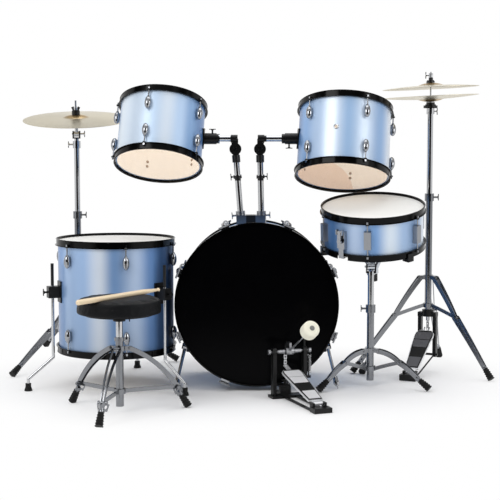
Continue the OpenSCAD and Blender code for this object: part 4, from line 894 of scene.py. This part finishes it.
class Pattern:
    """A geometry tree under construction: named inputs, nodes, and one mesh out."""

    def __init__(self, name: str, **inputs: float | int) -> None:
        """Starts the tree with its named inputs and their defaults.

        Args:
            name: the tree's name.
            **inputs: each input's default.
        """
        self.tree = bpy.data.node_groups.new(name, "GeometryNodeTree")
        for key, value in inputs.items():
            kind = "NodeSocketInt" if isinstance(value, int) else "NodeSocketFloat"
            socket = self.tree.interface.new_socket(key, in_out="INPUT", socket_type=kind)
            socket.default_value = value
        self.tree.interface.new_socket(
            "Mesh", in_out="OUTPUT", socket_type="NodeSocketGeometry"
        )
        self.inputs = add_node(self.tree, "NodeGroupInput").outputs

    def node(self, kind: str, inputs: dict[Any, Any] | None = None, **settings: Any) -> Node:
        """Adds a geometry node."""
        return add_node(self.tree, kind, inputs, **settings)

    def row(self) -> Node:
        """Points along Z, as many as Count says and a Pitch apart.

        Returns:
            The node that gives the points.
        """
        step = self.node(COMBINE, {2: self.inputs["Pitch"]})
        values = {"Count": self.inputs["Count"], "Offset": step}
        return self.node("GeometryNodeMeshLine", values, mode="OFFSET")

    def finish(self, mesh: Node, material: Material) -> NodeTree:
        """Ends the tree with real geometry in its material.

        Args:
            mesh: the node that gives the geometry.
            material: its finish.

        Returns:
            The finished tree.
        """
        real = self.node("GeometryNodeRealizeInstances", {0: mesh})
        dressed = self.node("GeometryNodeSetMaterial", {0: real, "Material": material})
        self.node("NodeGroupOutput", {0: dressed})
        return self.tree

    def wire(self, paths: Node, sides: int, material: Material) -> NodeTree:
        """Ends the tree with round wire along its paths, as thick as Wire says.

        Args:
            paths: the node that gives the curves.
            sides: how many sides the wire has.
            material: its finish.

        Returns:
            The finished tree.
        """
        real = self.node("GeometryNodeRealizeInstances", {0: paths})
        section = self.node(CIRCLE, {"Resolution": sides, "Radius": self.inputs["Wire"]})
        values = {0: real, 1: section, "Fill Caps": True}
        tube = self.node("GeometryNodeCurveToMesh", values)
        return self.finish(self.node("GeometryNodeSetShadeSmooth", {0: tube}), material)


# ------------------------------------------------------------------ shared patterns


def screw_ring_tree(material: Material) -> NodeTree:
    """Domed screw heads in a ring round Z, each flat side towards the axis.

    Args:
        material: the screws' finish.

    Returns:
        A tree with inputs Radius, Count, Start, Height and Size.
    """
    p = Pattern("screw_ring", Radius=0.1, Count=6, Start=0.0, Height=0.0, Size=0.004)
    count = p.inputs["Count"]
    dots = p.node("GeometryNodePoints", {"Count": count, "Radius": 0.001})
    index = p.node("GeometryNodeInputIndex")
    share = p.node(MATH, {0: index, 1: count}, operation="DIVIDE")
    full = p.node(MATH, {0: share, 1: 2 * math.pi}, operation="MULTIPLY")
    angle = p.node(MATH, {0: full, 1: p.inputs["Start"]}, operation="ADD")
    spot = {2: p.inputs["Height"]}
    for axis, part in enumerate(("COSINE", "SINE")):
        one = p.node(MATH, {0: angle}, operation=part)
        spot[axis] = p.node(MATH, {0: one, 1: p.inputs["Radius"]}, operation="MULTIPLY")
    placed = p.node("GeometryNodeSetPosition", {0: dots, "Position": p.node(COMBINE, spot)})
    ball = {"Segments": 12, "Rings": 8, "Radius": p.inputs["Size"]}
    head = p.node("GeometryNodeMeshUVSphere", ball)
    flat = p.node("GeometryNodeTransform", {0: head, "Scale": (0.45, 1.0, 1.0)})
    heads = {0: placed, "Instance": flat, "Rotation": p.node(COMBINE, {2: angle})}
    return p.finish(p.node("GeometryNodeInstanceOnPoints", heads), material)


def ring_stack_tree(material: Material) -> NodeTree:
    """Rings stacked along Z, each a little narrower than the one below it.

    Args:
        material: the rings' finish.

    Returns:
        A tree with inputs Radius, Shrink, Count, Pitch and Wire.
    """
    p = Pattern("ring_stack", Radius=0.01, Shrink=0.0, Count=5, Pitch=0.006, Wire=0.002)
    loop = p.node(CIRCLE, {"Resolution": 40, "Radius": 1.0})
    index = p.node("GeometryNodeInputIndex")
    less = p.node(MATH, {0: index, 1: p.inputs["Shrink"]}, operation="MULTIPLY")
    size = p.node(MATH, {0: p.inputs["Radius"], 1: less}, operation="SUBTRACT")
    rings = {0: p.row(), "Instance": loop, "Scale": size}
    return p.wire(p.node("GeometryNodeInstanceOnPoints", rings), 10, material)


def coil_tree(material: Material) -> NodeTree:
    """A coil spring along Z.

    Args:
        material: the wire's finish.

    Returns:
        A tree with inputs Radius, Turns, Length and Wire.
    """
    p = Pattern("coil_spring", Radius=0.008, Turns=9.0, Length=0.06, Wire=0.001)
    radius = p.inputs["Radius"]
    coil = {
        "Resolution": 20,
        "Rotations": p.inputs["Turns"],
        "Start Radius": radius,
        "End Radius": radius,
        "Height": p.inputs["Length"],
    }
    return p.wire(p.node("GeometryNodeCurveSpiral", coil), 8, material)


def chain_tree(material: Material) -> NodeTree:
    """A chain along Z: oval links, every second one turned a quarter.

    Args:
        material: the links' finish.

    Returns:
        A tree with inputs Count, Pitch, Width and Wire.
    """
    p = Pattern("roller_chain", Count=8, Pitch=0.008, Width=0.007, Wire=0.0011)
    index = p.node("GeometryNodeInputIndex")
    odd = p.node(MATH, {0: index, 1: 2.0}, operation="MODULO")
    quarter = p.node(MATH, {0: odd, 1: math.pi / 2}, operation="MULTIPLY")
    loop = p.node(CIRCLE, {"Resolution": 16, "Radius": 1.0})
    upright = p.node("GeometryNodeTransform", {0: loop, "Rotation": (math.pi / 2, 0.0, 0.0)})
    half_w = p.node(MATH, {0: p.inputs["Width"], 1: 0.5}, operation="MULTIPLY")
    # Half a link's height: more than half the pitch, so that links reach through each other
    half_h = p.node(MATH, {0: p.inputs["Pitch"], 1: 0.72}, operation="MULTIPLY")
    links = {
        0: p.row(),
        "Instance": upright,
        "Rotation": p.node(COMBINE, {2: quarter}),
        "Scale": p.node(COMBINE, {0: half_w, 1: half_w, 2: half_h}),
    }
    return p.wire(p.node("GeometryNodeInstanceOnPoints", links), 8, material)



class Kit:
    """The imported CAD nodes, and how they are dressed."""

    def __init__(self, frame: dict[str, Any]) -> None:
        """Keeps the frame's nodes and the materials made so far."""
        self.nodes: dict[str, Object] = frame["nodes"]
        self.made: dict[str, Material] = {}

    def material(self, finish: Finish) -> Material:
        """Builds a finish once and gives its material."""
        if finish.name not in self.made:
            self.made[finish.name] = finish.build()
        return self.made[finish.name]

    def dress(self, finish: Finish, *names: str) -> None:
        """Gives CAD nodes a finish.

        Args:
            finish: the finish.
            *names: the nodes.
        """
        material = self.material(finish)
        for name in names:
            for slot in self.nodes[name].material_slots:
                slot.material = material
            LOG.info("%s: %s", name, finish.name)


@dataclass
class TomDrum:
    """A drum that stands or hangs: wrapped shell, two heads, hoops, lugs and bolts inside.

    Lengths are in millimetres and angles in degrees round from the audience side. lug_down is
    how far each row of lugs lies from its rim, and vent is where the air hole is, if anywhere.
    """

    name: str
    body: str
    place: Place
    diameter: float
    depth: float
    lugs: int
    first_lug: float
    lug_down: float = 52.0
    clear: bool = True
    lug_finish: Finish = CAST_CHROME
    vent: float | None = None
    wall: float = 7.0
    bolt_size: float = 5.4
    bolt_sunk: float = 0.6
    bolt_apart: float = 18.0
    eyelet_r: float = 8.5
    eyelet_out: float = 0.3

    def build(self, kit: Kit) -> None:
        """Dresses the drum and adds the lug bolts inside it.
        """
        kit.dress(WRAPS[self.name], self.name + "_shell")
        kit.dress(HOOP_LACQUER, self.name + "_hoops")
        name = f"{self.name}_{FILM.name}"
        film = replace(FILM, name=name, place=self.place, clear_below=self.clear)
        kit.dress(film, self.name + "_heads")
        kit.dress(self.lug_finish, self.name + "_lugs")
        self.bolts(kit)
        if self.vent is not None:
            self.grommet(kit, self.vent)

    def grommet(self, kit: Kit, angle: float) -> None:
        """Adds the metal eyelet round the air hole.

        Args:
            angle: degrees round the drum from the audience side.
        """
        tree = ring_stack_tree(kit.material(CHROME))
        rings = {"Radius": self.eyelet_r * MM, "Shrink": 2.0 * MM, "Count": 2}
        rings.update({"Pitch": 0.8 * MM, "Wire": 1.4 * MM})
        spin = Matrix.Rotation(math.radians(angle - 90), 4, "Z")
        out = Matrix.Translation(((self.diameter / 2 + self.eyelet_out) * MM, 0.0, 0.0))
        side = self.place.matrix() @ spin @ out @ Matrix.Rotation(math.pi / 2, 4, "Y")
        mesh = grow(self.name + "_eyelet", tree, rings, side)
        to_object(self.name + "_vent_eyelet", mesh, self.body)

    def bolts(self, kit: Kit) -> None:
        """Adds the heads of the lug bolts on the bare wood inside.
        """
        tree = screw_ring_tree(kit.material(SCREW))
        name = self.name + "_bolts"
        ring = {
            "Radius": (self.diameter / 2 - self.wall - self.bolt_sunk) * MM,
            "Count": self.lugs,
            "Start": math.radians(self.first_lug - 90),
            "Size": self.bolt_size * MM,
        }
        rows = []
        for side in (-1, 1):
            for step in (-self.bolt_apart / 2, self.bolt_apart / 2):
                height = side * (self.depth / 2 - self.lug_down + step)
                values = {**ring, "Height": height * MM}
                rows.append(grow(name, tree, values, self.place.matrix()))
        to_object(self.name + "_inner_bolts", smooth(join(name, rows)), self.body)


@dataclass
class Cymbal:
    """A lathed cymbal with a smooth bow, a domed bell and a tapered edge, in millimetres.

    rise is how far up its tilted rod the plane of its edge lies.
    """

    name: str
    body: str
    place: Place
    diameter: float
    bow: float
    rise: float = 0.0
    upside_down: bool = False
    bell_r: float = 48.0
    bell_h: float = 10.0
    thick: float = 1.2
    hole: float = 12.0
    steps: int = 34

    def under(self, r: float) -> float:
        """Height of the lower face over the edge plane at a radius, in millimetres.

        Args:
            r: the radius.

        Returns:
            The height.
        """
        edge = self.diameter / 2
        if r > self.bell_r:
            return self.bow * (1 - (r / edge) ** 2)
        shoulder = self.bow * (1 - (self.bell_r / edge) ** 2)
        return shoulder + self.bell_h * (1 - (r / self.bell_r) ** 2)

    def profile(self) -> list[tuple[float, float]]:
        """Closed section of the cymbal.

        Returns:
            Points of radius and height, in millimetres.
        """
        edge = self.diameter / 2
        radii = [edge - (edge - self.hole / 2) * k / self.steps for k in range(self.steps + 1)]
        low = [(r, self.under(r)) for r in radii]
        high = [(r, z + self.thick * (0.75 if r == edge else 1.0)) for r, z in reversed(low)]
        return low + high

    def build(self, kit: Kit) -> None:
        """Builds the lathed cymbal in place of its CAD node.
        """
        finish = replace(BRONZE, name=f"{self.name}_{BRONZE.name}", place=self.place)
        matrix = self.place.matrix() @ Matrix.Translation((0, 0, self.rise * MM))
        points = self.profile()
        if self.upside_down:
            points = [(r, -z) for r, z in reversed(points)]
        mesh = lathe(self.name, points, matrix, 128)
        mesh.materials.append(kit.material(finish))
        to_object(self.name + "_lathed", smooth(mesh, 50), self.body, self.name)


@dataclass
class Throne:
    """The drum throne: a stuffed vinyl seat on a braced tripod, with two sticks on it."""

    seat_d: float = 271.0
    seat_t: float = 48.0
    seat_top: float = 370.0
    voxel_mm: float = 5.0
    held_mm: float = 4.0
    pressure: float = 4.0
    frames: int = 20
    swell_mm: float = 3.0

    def profile(self) -> list[tuple[float, float]]:
        """Section of the seat: crowned top, rolled edge, straight side, flat base.

        Returns:
            Points of radius and height, in millimetres.
        """
        r, low, top = self.seat_d / 2, self.seat_top - self.seat_t, self.seat_top
        angles = [math.radians(d) for d in (-10, 15, 40, 65, 85)]
        rim = [(r - 9 + 9 * math.cos(a), top - 12 + 9 * math.sin(a)) for a in angles]
        crown = [(r * k, top - 3 * k**4) for k in (0.85, 0.7, 0.5, 0.3, 0.12, 0.0)]
        side = [(0.0, low), (r * 0.5, low), (r - 4, low), (r - 1, low + 3), (r, low + 10)]
        seam = [(r, low + 26), (r - 1.6, low + 28), (r, low + 30)]
        return side + seam + rim + crown

    def cushion(self) -> Object:
        """Makes the stuffed seat, with its cover pressed out by its foam.

        Returns:
            The cushion.
        """
        mesh = lathe("seat_cushion", self.profile(), THRONE.matrix())
        cushion = new_object("throne_cushion", mesh)
        self.stuff(cushion)
        return cushion

    def stuff(self, cushion: Object) -> None:
        """Remeshes the seat finely and lets cloth pressure round its cover.

        Args:
            cushion: the seat as drawn.
        """
        bpy.context.view_layer.objects.active = cushion
        remesh = cushion.modifiers.new("remesh", "REMESH")
        remesh.mode = "VOXEL"
        remesh.voxel_size = self.voxel_mm * MM
        bpy.ops.object.modifier_apply(modifier=remesh.name)
        before = [v.co.copy() for v in cushion.data.vertices]
        low = (self.seat_top - self.seat_t + self.held_mm) * MM
        held = cushion.vertex_groups.new(name="held")
        held.add([i for i, co in enumerate(before) if co.z < low], 1.0, "REPLACE")
        cloth = cushion.modifiers.new("cloth", "CLOTH")
        cloth.settings.use_pressure = True
        cloth.settings.uniform_pressure_force = self.pressure
        cloth.settings.effector_weights.gravity = 0.0
        cloth.settings.vertex_group_mass = "held"
        cloth.settings.quality = 5
        scene = bpy.context.scene
        for number in range(1, self.frames + 1):
            scene.frame_set(number)
        graph = bpy.context.evaluated_depsgraph_get()
        pressed = bpy.data.meshes.new_from_object(cushion.evaluated_get(graph))
        cushion.modifiers.clear()
        scene.frame_set(1)
        most = self.swell_mm * MM
        top = self.seat_top * MM + most
        for vertex, old in zip(pressed.vertices, before):
            move = vertex.co - old
            if move.length > most:
                vertex.co = old + move.normalized() * most
            vertex.co.z = min(vertex.co.z, top)
        cushion.data = pressed
        finer = cushion.modifiers.new("finer", "SUBSURF")
        finer.levels = finer.render_levels = 1

    def build(self, kit: Kit) -> None:
        """Builds the cushion and dresses the tripod, post, socket and sticks.
        """
        cushion = self.cushion()
        cushion.data.shade_smooth()
        cushion.data.materials.clear()
        cushion.data.materials.append(kit.material(VINYL))
        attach(cushion, "throne_seat")
        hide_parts("throne_seat")
        LOG.info("throne_cushion: %d points", len(cushion.data.vertices))
        kit.dress(PAINTED_SHADE_STRAP, "throne_base")
        kit.dress(CHROME, "throne_post")
        kit.dress(POWDER, "throne_seat_socket")
        kit.dress(MAPLE, "drumsticks")


@dataclass
class BassDrum:
    """The bass drum with its lacquered hoops, claws, spurs and the tom holder.

    Places and half sizes of the holder's black and bright parts are in millimetres.
    """

    holder_at: tuple[float, float] = (3.0, 90.0)
    block_z: float = 585.0
    block_half: Triple = (17.0, 60.0, 60.0)
    tilter_z: float = 835.0
    tilter_half: Triple = (120.0, 60.0, 48.0)
    collar_z: float = 731.0
    collar_half: Triple = (120.0, 60.0, 9.0)
    cap_yz: tuple[float, float] = (75.0, 835.6)
    cap_half: Triple = (6.6, 4.0, 6.6)
    arm_yz: tuple[float, float] = (90.0, 872.6)
    arm_r: float = 14.0

    def build(self, kit: Kit) -> None:
        """Dresses the bass drum and what stands on it.
        """
        kit.dress(WRAPS["bass"], "bass_shell")
        kit.dress(HOOP_LACQUER, "bass_hoops")
        kit.dress(BASS_FILM, "bass_heads")
        kit.dress(CAST_CHROME, "bass_lugs", "bass_claws")
        kit.dress(CHROME, "spur_left", "spur_right")
        kit.dress(POWDER, "bass_spur_brackets", "left_tom_bracket", "right_tom_bracket")
        self.holder(kit)

    def holder(self, kit: Kit) -> None:
        """Dresses the tom holder: grey cast cheeks, chromed posts, black tilters, chromed arms.
        """
        block = Place((*self.holder_at, self.block_z))
        name = "nickel_block_black_middle"
        base = with_part(NICKEL, name, BLACK_PART, Shape.BOX, block, self.block_half)
        kit.dress(base, "tom_holder_base")
        post = CHROME
        for name, height, half in (
            ("chromed_post_black_top", self.tilter_z, self.tilter_half),
            ("chromed_post_black_collar", self.collar_z, self.collar_half),
        ):
            where = Place((*self.holder_at, height))
            post = with_part(post, name, BLACK_PART, Shape.BOX, where, half)
        kit.dress(post, "tom_post_left", "tom_post_right")
        # Each tilter's bright disc cap, and the middle and half length of its arm's tube
        for side, disc, tube, half in (("left", -52.6, -91.5, 21.0), ("right", 35.9, 86.5, 27.0)):
            cap, run = Place((disc, *self.cap_yz)), Place((tube, *self.arm_yz))
            size, name = self.cap_half, side + "_arm_cap"
            arm = with_part(POWDER, name, BRIGHT_PART, Shape.BOX, cap, size)
            size, name = (half, self.arm_r, self.arm_r), side + "_arm_tube"
            arm = with_part(arm, name, BRIGHT_PART, Shape.BOX, run, size)
            kit.dress(arm, "tom_arm_" + side)


@dataclass
class Stands:
    """The chromed stands and their rubber boots.

    parts holds, for each node that is two finishes in one: the node, its finish, the new
    finish's name, the other part's look and axes, and its radius and half length.
    """

    parts: tuple[tuple[str, Finish, str, Look, Place, float, float], ...] = (
        (
            "floor_tom_legs", CHROME, "chromed_leg_black_top", BLACK_PART,
            Place((-475.0, -30.0, 420.0)), 400.0, 55.0,
        ),
        (
            "hihat_upper_tube", CHROME, "chromed_tube_black_cup", BLACK_PART,
            Place((670.0, 237.0, 1008.0)), 40.0, 24.0,
        ),
        (
            "hihat_clutch", CHROME, "chromed_clutch_black_felt", BLACK_PART,
            Place((670.0, 237.0, 1087.0)), 19.0, 10.0,
        ),
        (
            "crash_rod", CHROME, "chromed_rod_black_felts", BLACK_PART,
            CRASH.inside(0.0, 0.0, 75.0), 19.0, 19.0,
        ),
    )

    def build(self, kit: Kit) -> None:
        """Dresses tubes, straps, pull rod, clutch, legs and boots.
        """
        kit.dress(PAINTED_SHADE_STRAP, "snare_stand_base", "hihat_stand_base", "crash_stand_base")
        tubes = ("snare_stand_tube", "hihat_pull_rod", "crash_middle_tube", "crash_top_tube")
        kit.dress(CHROME, *tubes)
        kit.dress(CAST_CHROME, "snare_strainer", "snare_lever")
        kit.dress(POWDER, "floor_tom_leg_brackets")
        for node, base, name, look, place, radius, half in self.parts:
            size = (radius, radius, half)
            kit.dress(with_part(base, name, look, Shape.TUBE, place, size), node)
        self.basket(kit)
        kit.dress(RUBBER, "stand_feet")

    def basket(self, kit: Kit) -> None:
        """Dresses the snare's basket: chromed arms in black grips, over a black nut.
        """
        arms, nut = (158.0, 158.0, 300.0), (17.5, 17.5, 14.5)
        look = with_part(POWDER, "basket_arms", BRIGHT_PART, Shape.TUBE, SNARE_HUB, arms)
        name = "basket_arms_black_nut"
        look = with_part(look, name, BLACK_PART, Shape.TUBE, SNARE_NUT, nut)
        kit.dress(look, "snare_basket")


@dataclass
class Treadle:
    """A footboard: a silver plate whose top carries a black pad and inlaid ribbed panels.

    Lengths are in millimetres from the heel pin; rows are shares of the plate's run.
    """

    name: str
    body: str
    place: Place
    length: float
    panel: Finish
    toe_w: float = 74.0
    heel_w: float = 52.0
    gap: float = 16.0
    corner: float = 14.0
    pad_z: tuple[float, float] = (2.5, 5.8)
    panel_z: tuple[float, float] = (5.0, 6.9)
    rounding: float = 0.5
    rows: tuple[tuple[float, float], ...] = ((0.04, 0.285), (0.545, 0.735), (0.75, 0.945))

    def half(self, y: float) -> float:
        """Half the plate's width at a distance from the heel pin.

        Args:
            y: the distance.

        Returns:
            Half the width.
        """
        knee = self.length - 2 * self.corner
        share = min(1.0, (y - self.gap) / (knee - self.gap))
        width = self.heel_w / 2 + (self.toe_w - self.heel_w) / 2 * share
        if y > self.length - self.corner:
            return width - 2 - (y - self.length + self.corner) * (1 - 2 / self.corner)
        return width - max(0.0, 2 * (y - knee) / self.corner)

    def slab(
        self, low: float, high: float, heights: tuple[float, float], inset: float, finish: Material
    ) -> Mesh:
        """A pad between two distances along the plate.

        Args:
            low: where it starts.
            high: where it ends.
            heights: of its underside and its upper face.
            inset: how far it keeps from the plate's sides.
            finish: its material.
        """
        knees = [self.length - 2 * self.corner, self.length - self.corner]
        ys = [low, *[y for y in knees if low < y < high], high]
        right = [(self.half(y) - inset, y) for y in ys]
        outline = right + [(-x, y) for x, y in reversed(right)]
        shape = bmesh.new()
        floor, roof = (
            [shape.verts.new(Vector((x, y, z)) * MM) for x, y in outline] for z in heights
        )
        shape.faces.new(list(reversed(floor)))
        upper = shape.faces.new(roof)
        for k in range(len(outline)):
            n = (k + 1) % len(outline)
            shape.faces.new((floor[k], floor[n], roof[n], roof[k]))
        bmesh.ops.bevel(
            shape, geom=list(upper.edges), offset=self.rounding * MM, segments=2, affect="EDGES"
        )
        bmesh.ops.recalc_face_normals(shape, faces=shape.faces)
        mesh = to_mesh(self.name + "_slab", shape)
        mesh.transform(self.place.matrix())
        mesh.materials.append(finish)
        return mesh

    def build(self, kit: Kit) -> None:
        """Adds the pad and its panels on top of the plate.
        """
        gap, run, panel = self.gap, self.length - self.gap, kit.material(self.panel)
        slabs = [self.slab(gap + 5, self.length - 3, self.pad_z, 3.0, kit.material(RUBBER))]
        for start, end in self.rows:
            slabs.append(self.slab(gap + start * run, gap + end * run, self.panel_z, 6.5, panel))
        name = self.name + "_pads"
        to_object(name, smooth(join(name, slabs)), self.body)


@dataclass
class Pedals:
    """The bass pedal and the hi-hat's footboard, in millimetres."""

    ball_r: float = 37.5
    screw_r: float = 8.5
    links_z: float = 159.0
    spring_at: Triple = (74.0, 0.0, 78.0)

    def build(self, kit: Kit) -> None:
        """Dresses the pedals' frames, footboards and beater, and adds panels, chain and spring.
        """
        kit.dress(POWDER, "pedal_frame", "hihat_pedal_frame")
        kit.dress(CAST_ALUMINIUM, "pedal_footboard", "hihat_footboard")
        kit.dress(self.beater(), "pedal_beater")
        for treadle in (
            Treadle("pedal_board", "pedal_footboard", PEDAL_BOARD, 243.1, BRIGHT_RIBS),
            Treadle("hihat_board", "hihat_footboard", HAT_BOARD, 218.1, GREY_RIBS),
        ):
            treadle.build(kit)
        chrome = kit.material(CHROME)
        links = {"Count": 4, "Pitch": 9.0 * MM, "Width": 8.4 * MM, "Wire": 1.2 * MM}
        top = HAT_PEDAL.matrix() @ Matrix.Translation((0.0, 0.0, self.links_z * MM))
        mesh = grow("hihat_links", chain_tree(chrome), links, top)
        to_object("hihat_chain_links", mesh, "hihat_rod")
        coil = {"Radius": 6.5 * MM, "Turns": 15.0, "Length": 62.0 * MM, "Wire": 1.1 * MM}
        side = PEDAL.matrix() @ Matrix.Translation(Vector(self.spring_at) * MM)
        mesh = grow("return_spring", coil_tree(chrome), coil, side)
        to_object("pedal_return_spring", mesh, "kit_base")

    def beater(self) -> Finish:
        """Pressed felt, ivory and matt, with a grey screw in its face, on a dull chromed rod.

        Returns:
            The finish.
        """
        ball, screw = (self.ball_r,) * 3, (self.screw_r, self.screw_r, 60.0)
        rod, felt = Look("#9C9DA0", 0.3, 1.0), Look("#EDEAD8", 0.95)
        zones = (
            Zone(Shape.TUBE, PEDAL, (90.0, 90.0, 400.0), rod),
            Zone(Shape.BALL, BEATER_HEAD, ball, felt),
            Zone(Shape.TUBE, BEATER_HEAD, screw, Look("#7C7C78", 0.4, 0.8)),
        )
        return replace(CHROME, name="felt_beater_on_chromed_rod", zones=zones)


# ------------------------------------------------------------------ studio


def any_ray(tree: NodeTree, *kinds: str) -> Any:
    """One for a ray of any of some kinds, as Light Path names them.

    Args:
        tree: the tree.
        *kinds: the kinds.

    Returns:
        The node or socket that gives it.
    """
    path = add_node(tree, "ShaderNodeLightPath").outputs
    seen: Any = path[kinds[0]]
    for kind in kinds[1:]:
        seen = add_node(tree, MATH, {0: seen, 1: path[kind]}, operation="MAXIMUM")
    return seen


@dataclass
class Studio:
    """White room, pale floor, soft lamps and the camera, in metres and degrees."""

    eye: Triple = (0.0004, -4.5734, 0.9)
    pitch: float = 5.3
    lens: float = 92.3
    floor_colour: str = "#FAFAFA"
    floor_half: float = 2.1
    floor_drop: float = 0.0012
    fade: tuple[float, float] = (0.4, 1.0)
    soft_light: str = "#C6C6C8"
    ceiling: str = "#C4C5C7"
    ceiling_from: tuple[float, float] = (0.6, 0.8)
    # Degrees away from the audience side: dark there, so that chrome shows its edges
    walls: Stops = (
        (0.0, "#050506"),
        (30.0, "#0E0E0F"),
        (42.0, "#F2F2F2"),
        (78.0, "#FFFFFF"),
        (88.0, "#5A5B5E"),
        (98.0, "#FFFFFF"),
        (180.0, "#F4F4F4"),
    )
    # Sine of the height above level: one dark band, which shades the cymbals' undersides
    storeys: Stops = (
        (0.0, "#FFFFFF"),
        (0.47, "#FFFFFF"),
        (0.52, "#3A3B3E"),
        (0.62, "#3A3B3E"),
        (0.68, "#FFFFFF"),
    )
    # Name, place, size and power
    lamp_rows: tuple[tuple[str, Triple, float, float], ...] = (
        ("key", (-2.6, -3.0, 3.2), 2.4, 70.0),
        ("fill", (3.2, -2.4, 2.2), 2.0, 32.0),
        ("top", (0.2, 0.6, 3.4), 3.0, 48.0),
    )

    def build(self) -> None:
        """Builds the room."""
        self.world()
        self.floor()
        self.lamps()
        self.camera()
        bpy.context.scene.view_settings.view_transform = "Standard"

    def world(self) -> None:
        """White to the eye, soft light, and a room with a dark end for gloss to reflect."""
        world = bpy.data.worlds.new("white_room")
        bpy.context.scene.world = world
        tree = fresh_tree(world)
        towards = add_node(tree, "ShaderNodeTexCoord").outputs["Generated"]
        height = add_node(tree, SPLIT, {0: towards}).outputs[2]
        apart = add_node(tree, MATH, {0: bearing(tree, towards)}, operation="ABSOLUTE")
        share = add_node(tree, MATH, {0: apart, 1: math.pi}, operation="DIVIDE")
        round_walls = tuple((angle / 180, code) for angle, code in self.walls)
        walls = add_node(tree, "ShaderNodeValToRGB", {0: share}, round_walls)
        storeys = add_node(tree, "ShaderNodeValToRGB", {0: height}, self.storeys)
        shaded = add_node(tree, VECTOR, {0: walls, 1: storeys}, operation="MULTIPLY")
        low, high = self.ceiling_from
        up = add_node(tree, RANGE, {"Value": height, "From Min": low, "From Max": high})
        colour: Any = add_node(
            tree, MIX, {0: up, 6: shaded, 7: linear(self.ceiling)}, data_type="RGBA"
        )
        gloss = any_ray(tree, "Is Glossy Ray")
        soft = {0: gloss, 6: linear(self.soft_light), 7: colour}
        colour = add_node(tree, MIX, soft, data_type="RGBA")
        seen = any_ray(tree, "Is Camera Ray", "Is Transmission Ray")
        colour = add_node(tree, MIX, {0: seen, 6: colour, 7: linear("#FFFFFF")}, data_type="RGBA")
        light = add_node(tree, "ShaderNodeBackground", {0: colour, 1: 1.0})
        add_node(tree, "ShaderNodeOutputWorld", {0: light})

    def floor(self) -> None:
        mesh = bpy.data.meshes.new("floor")
        half = self.floor_half
        corners = [(-half, -half, 0), (half, -half, 0), (half, half, 0), (-half, half, 0)]
        mesh.from_pydata(corners, [], [(0, 1, 2, 3)])
        floor = new_object("floor", mesh)
        floor.location.z = -self.floor_drop
        material = bpy.data.materials.new("white_paper_sweep")
        tree = fresh_tree(material)
        coords = add_node(tree, "ShaderNodeTexCoord").outputs["Object"]
        near, far = self.fade
        oval = {"Value": reach(tree, coords, (0.85, 1.15, 0.0)), "From Min": near, "From Max": far}
        fade = add_node(tree, RANGE, oval, interpolation_type="SMOOTHSTEP")
        seen = any_ray(tree, "Is Camera Ray", "Is Glossy Ray", "Is Transmission Ray")
        both = add_node(tree, MATH, {0: fade, 1: seen}, operation="MULTIPLY")
        paper = add_node(tree, "ShaderNodeBsdfDiffuse", {"Color": linear(self.floor_colour)})
        glow = add_node(tree, "ShaderNodeEmission", {0: linear("#FFFFFF"), 1: 1.0})
        mixed = add_node(tree, "ShaderNodeMixShader", {0: both, 1: paper, 2: glow})
        add_node(tree, "ShaderNodeOutputMaterial", {0: mixed})
        mesh.materials.append(material)

    def lamps(self) -> None:
        """A large soft key from the front left, a fill from the right and a top light."""
        for name, where, size, power in self.lamp_rows:
            lamp = bpy.data.lights.new(name, "AREA")
            lamp.size = size
            lamp.energy = power
            holder = new_object(name, lamp)
            holder.location = where
            aim = Vector((0, 0, 0.5)) - Vector(where)
            holder.rotation_euler = aim.to_track_quat("-Z", "Y").to_euler()

    def camera(self) -> None:
        """The camera at eye height, a little below level."""
        lens = bpy.data.cameras.new("camera")
        lens.lens = self.lens
        lens.sensor_width = 36.0
        eye = new_object("camera", lens)
        eye.location = self.eye
        eye.rotation_euler = (math.radians(90 - self.pitch), 0.0, 0.0)
        bpy.context.scene.camera = eye


def main() -> None:
    logging.basicConfig(level=logging.INFO, format="%(name)s %(message)s")
    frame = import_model()
    kit = Kit(frame)
    Studio().build()
    crash_rise = 55.0 / math.cos(math.radians(CRASH.turn[0]))
    for part in (
        BassDrum(),
        TomDrum("left_tom", "left_tom", LEFT_TOM, 305, 228, 5, -15.7),
        TomDrum("right_tom", "right_tom", RIGHT_TOM, 330, 252, 5, 21.1, vent=-15.0),
        TomDrum("floor_tom", "floor_tom", FLOOR_TOM, 406, 382, 6, 15.0),
        TomDrum(
            "snare", "snare_drum", SNARE, 352, 136, 6, -11.3, 42.0, clear=False, lug_finish=NICKEL
        ),
        Cymbal("hihat_bottom_cymbal", "hihat_tube", HAT_BOTTOM, 356, 10, upside_down=True),
        Cymbal("hihat_top_cymbal", "hihat_clutch", HAT_TOP, 356, 10),
        Cymbal("crash_cymbal", "crash_cymbal", CRASH, 406, 8.5, crash_rise),
        Stands(),
        Pedals(),
        Throne(),
    ):
        part.build(kit)


if __name__ == "__main__":
    main()
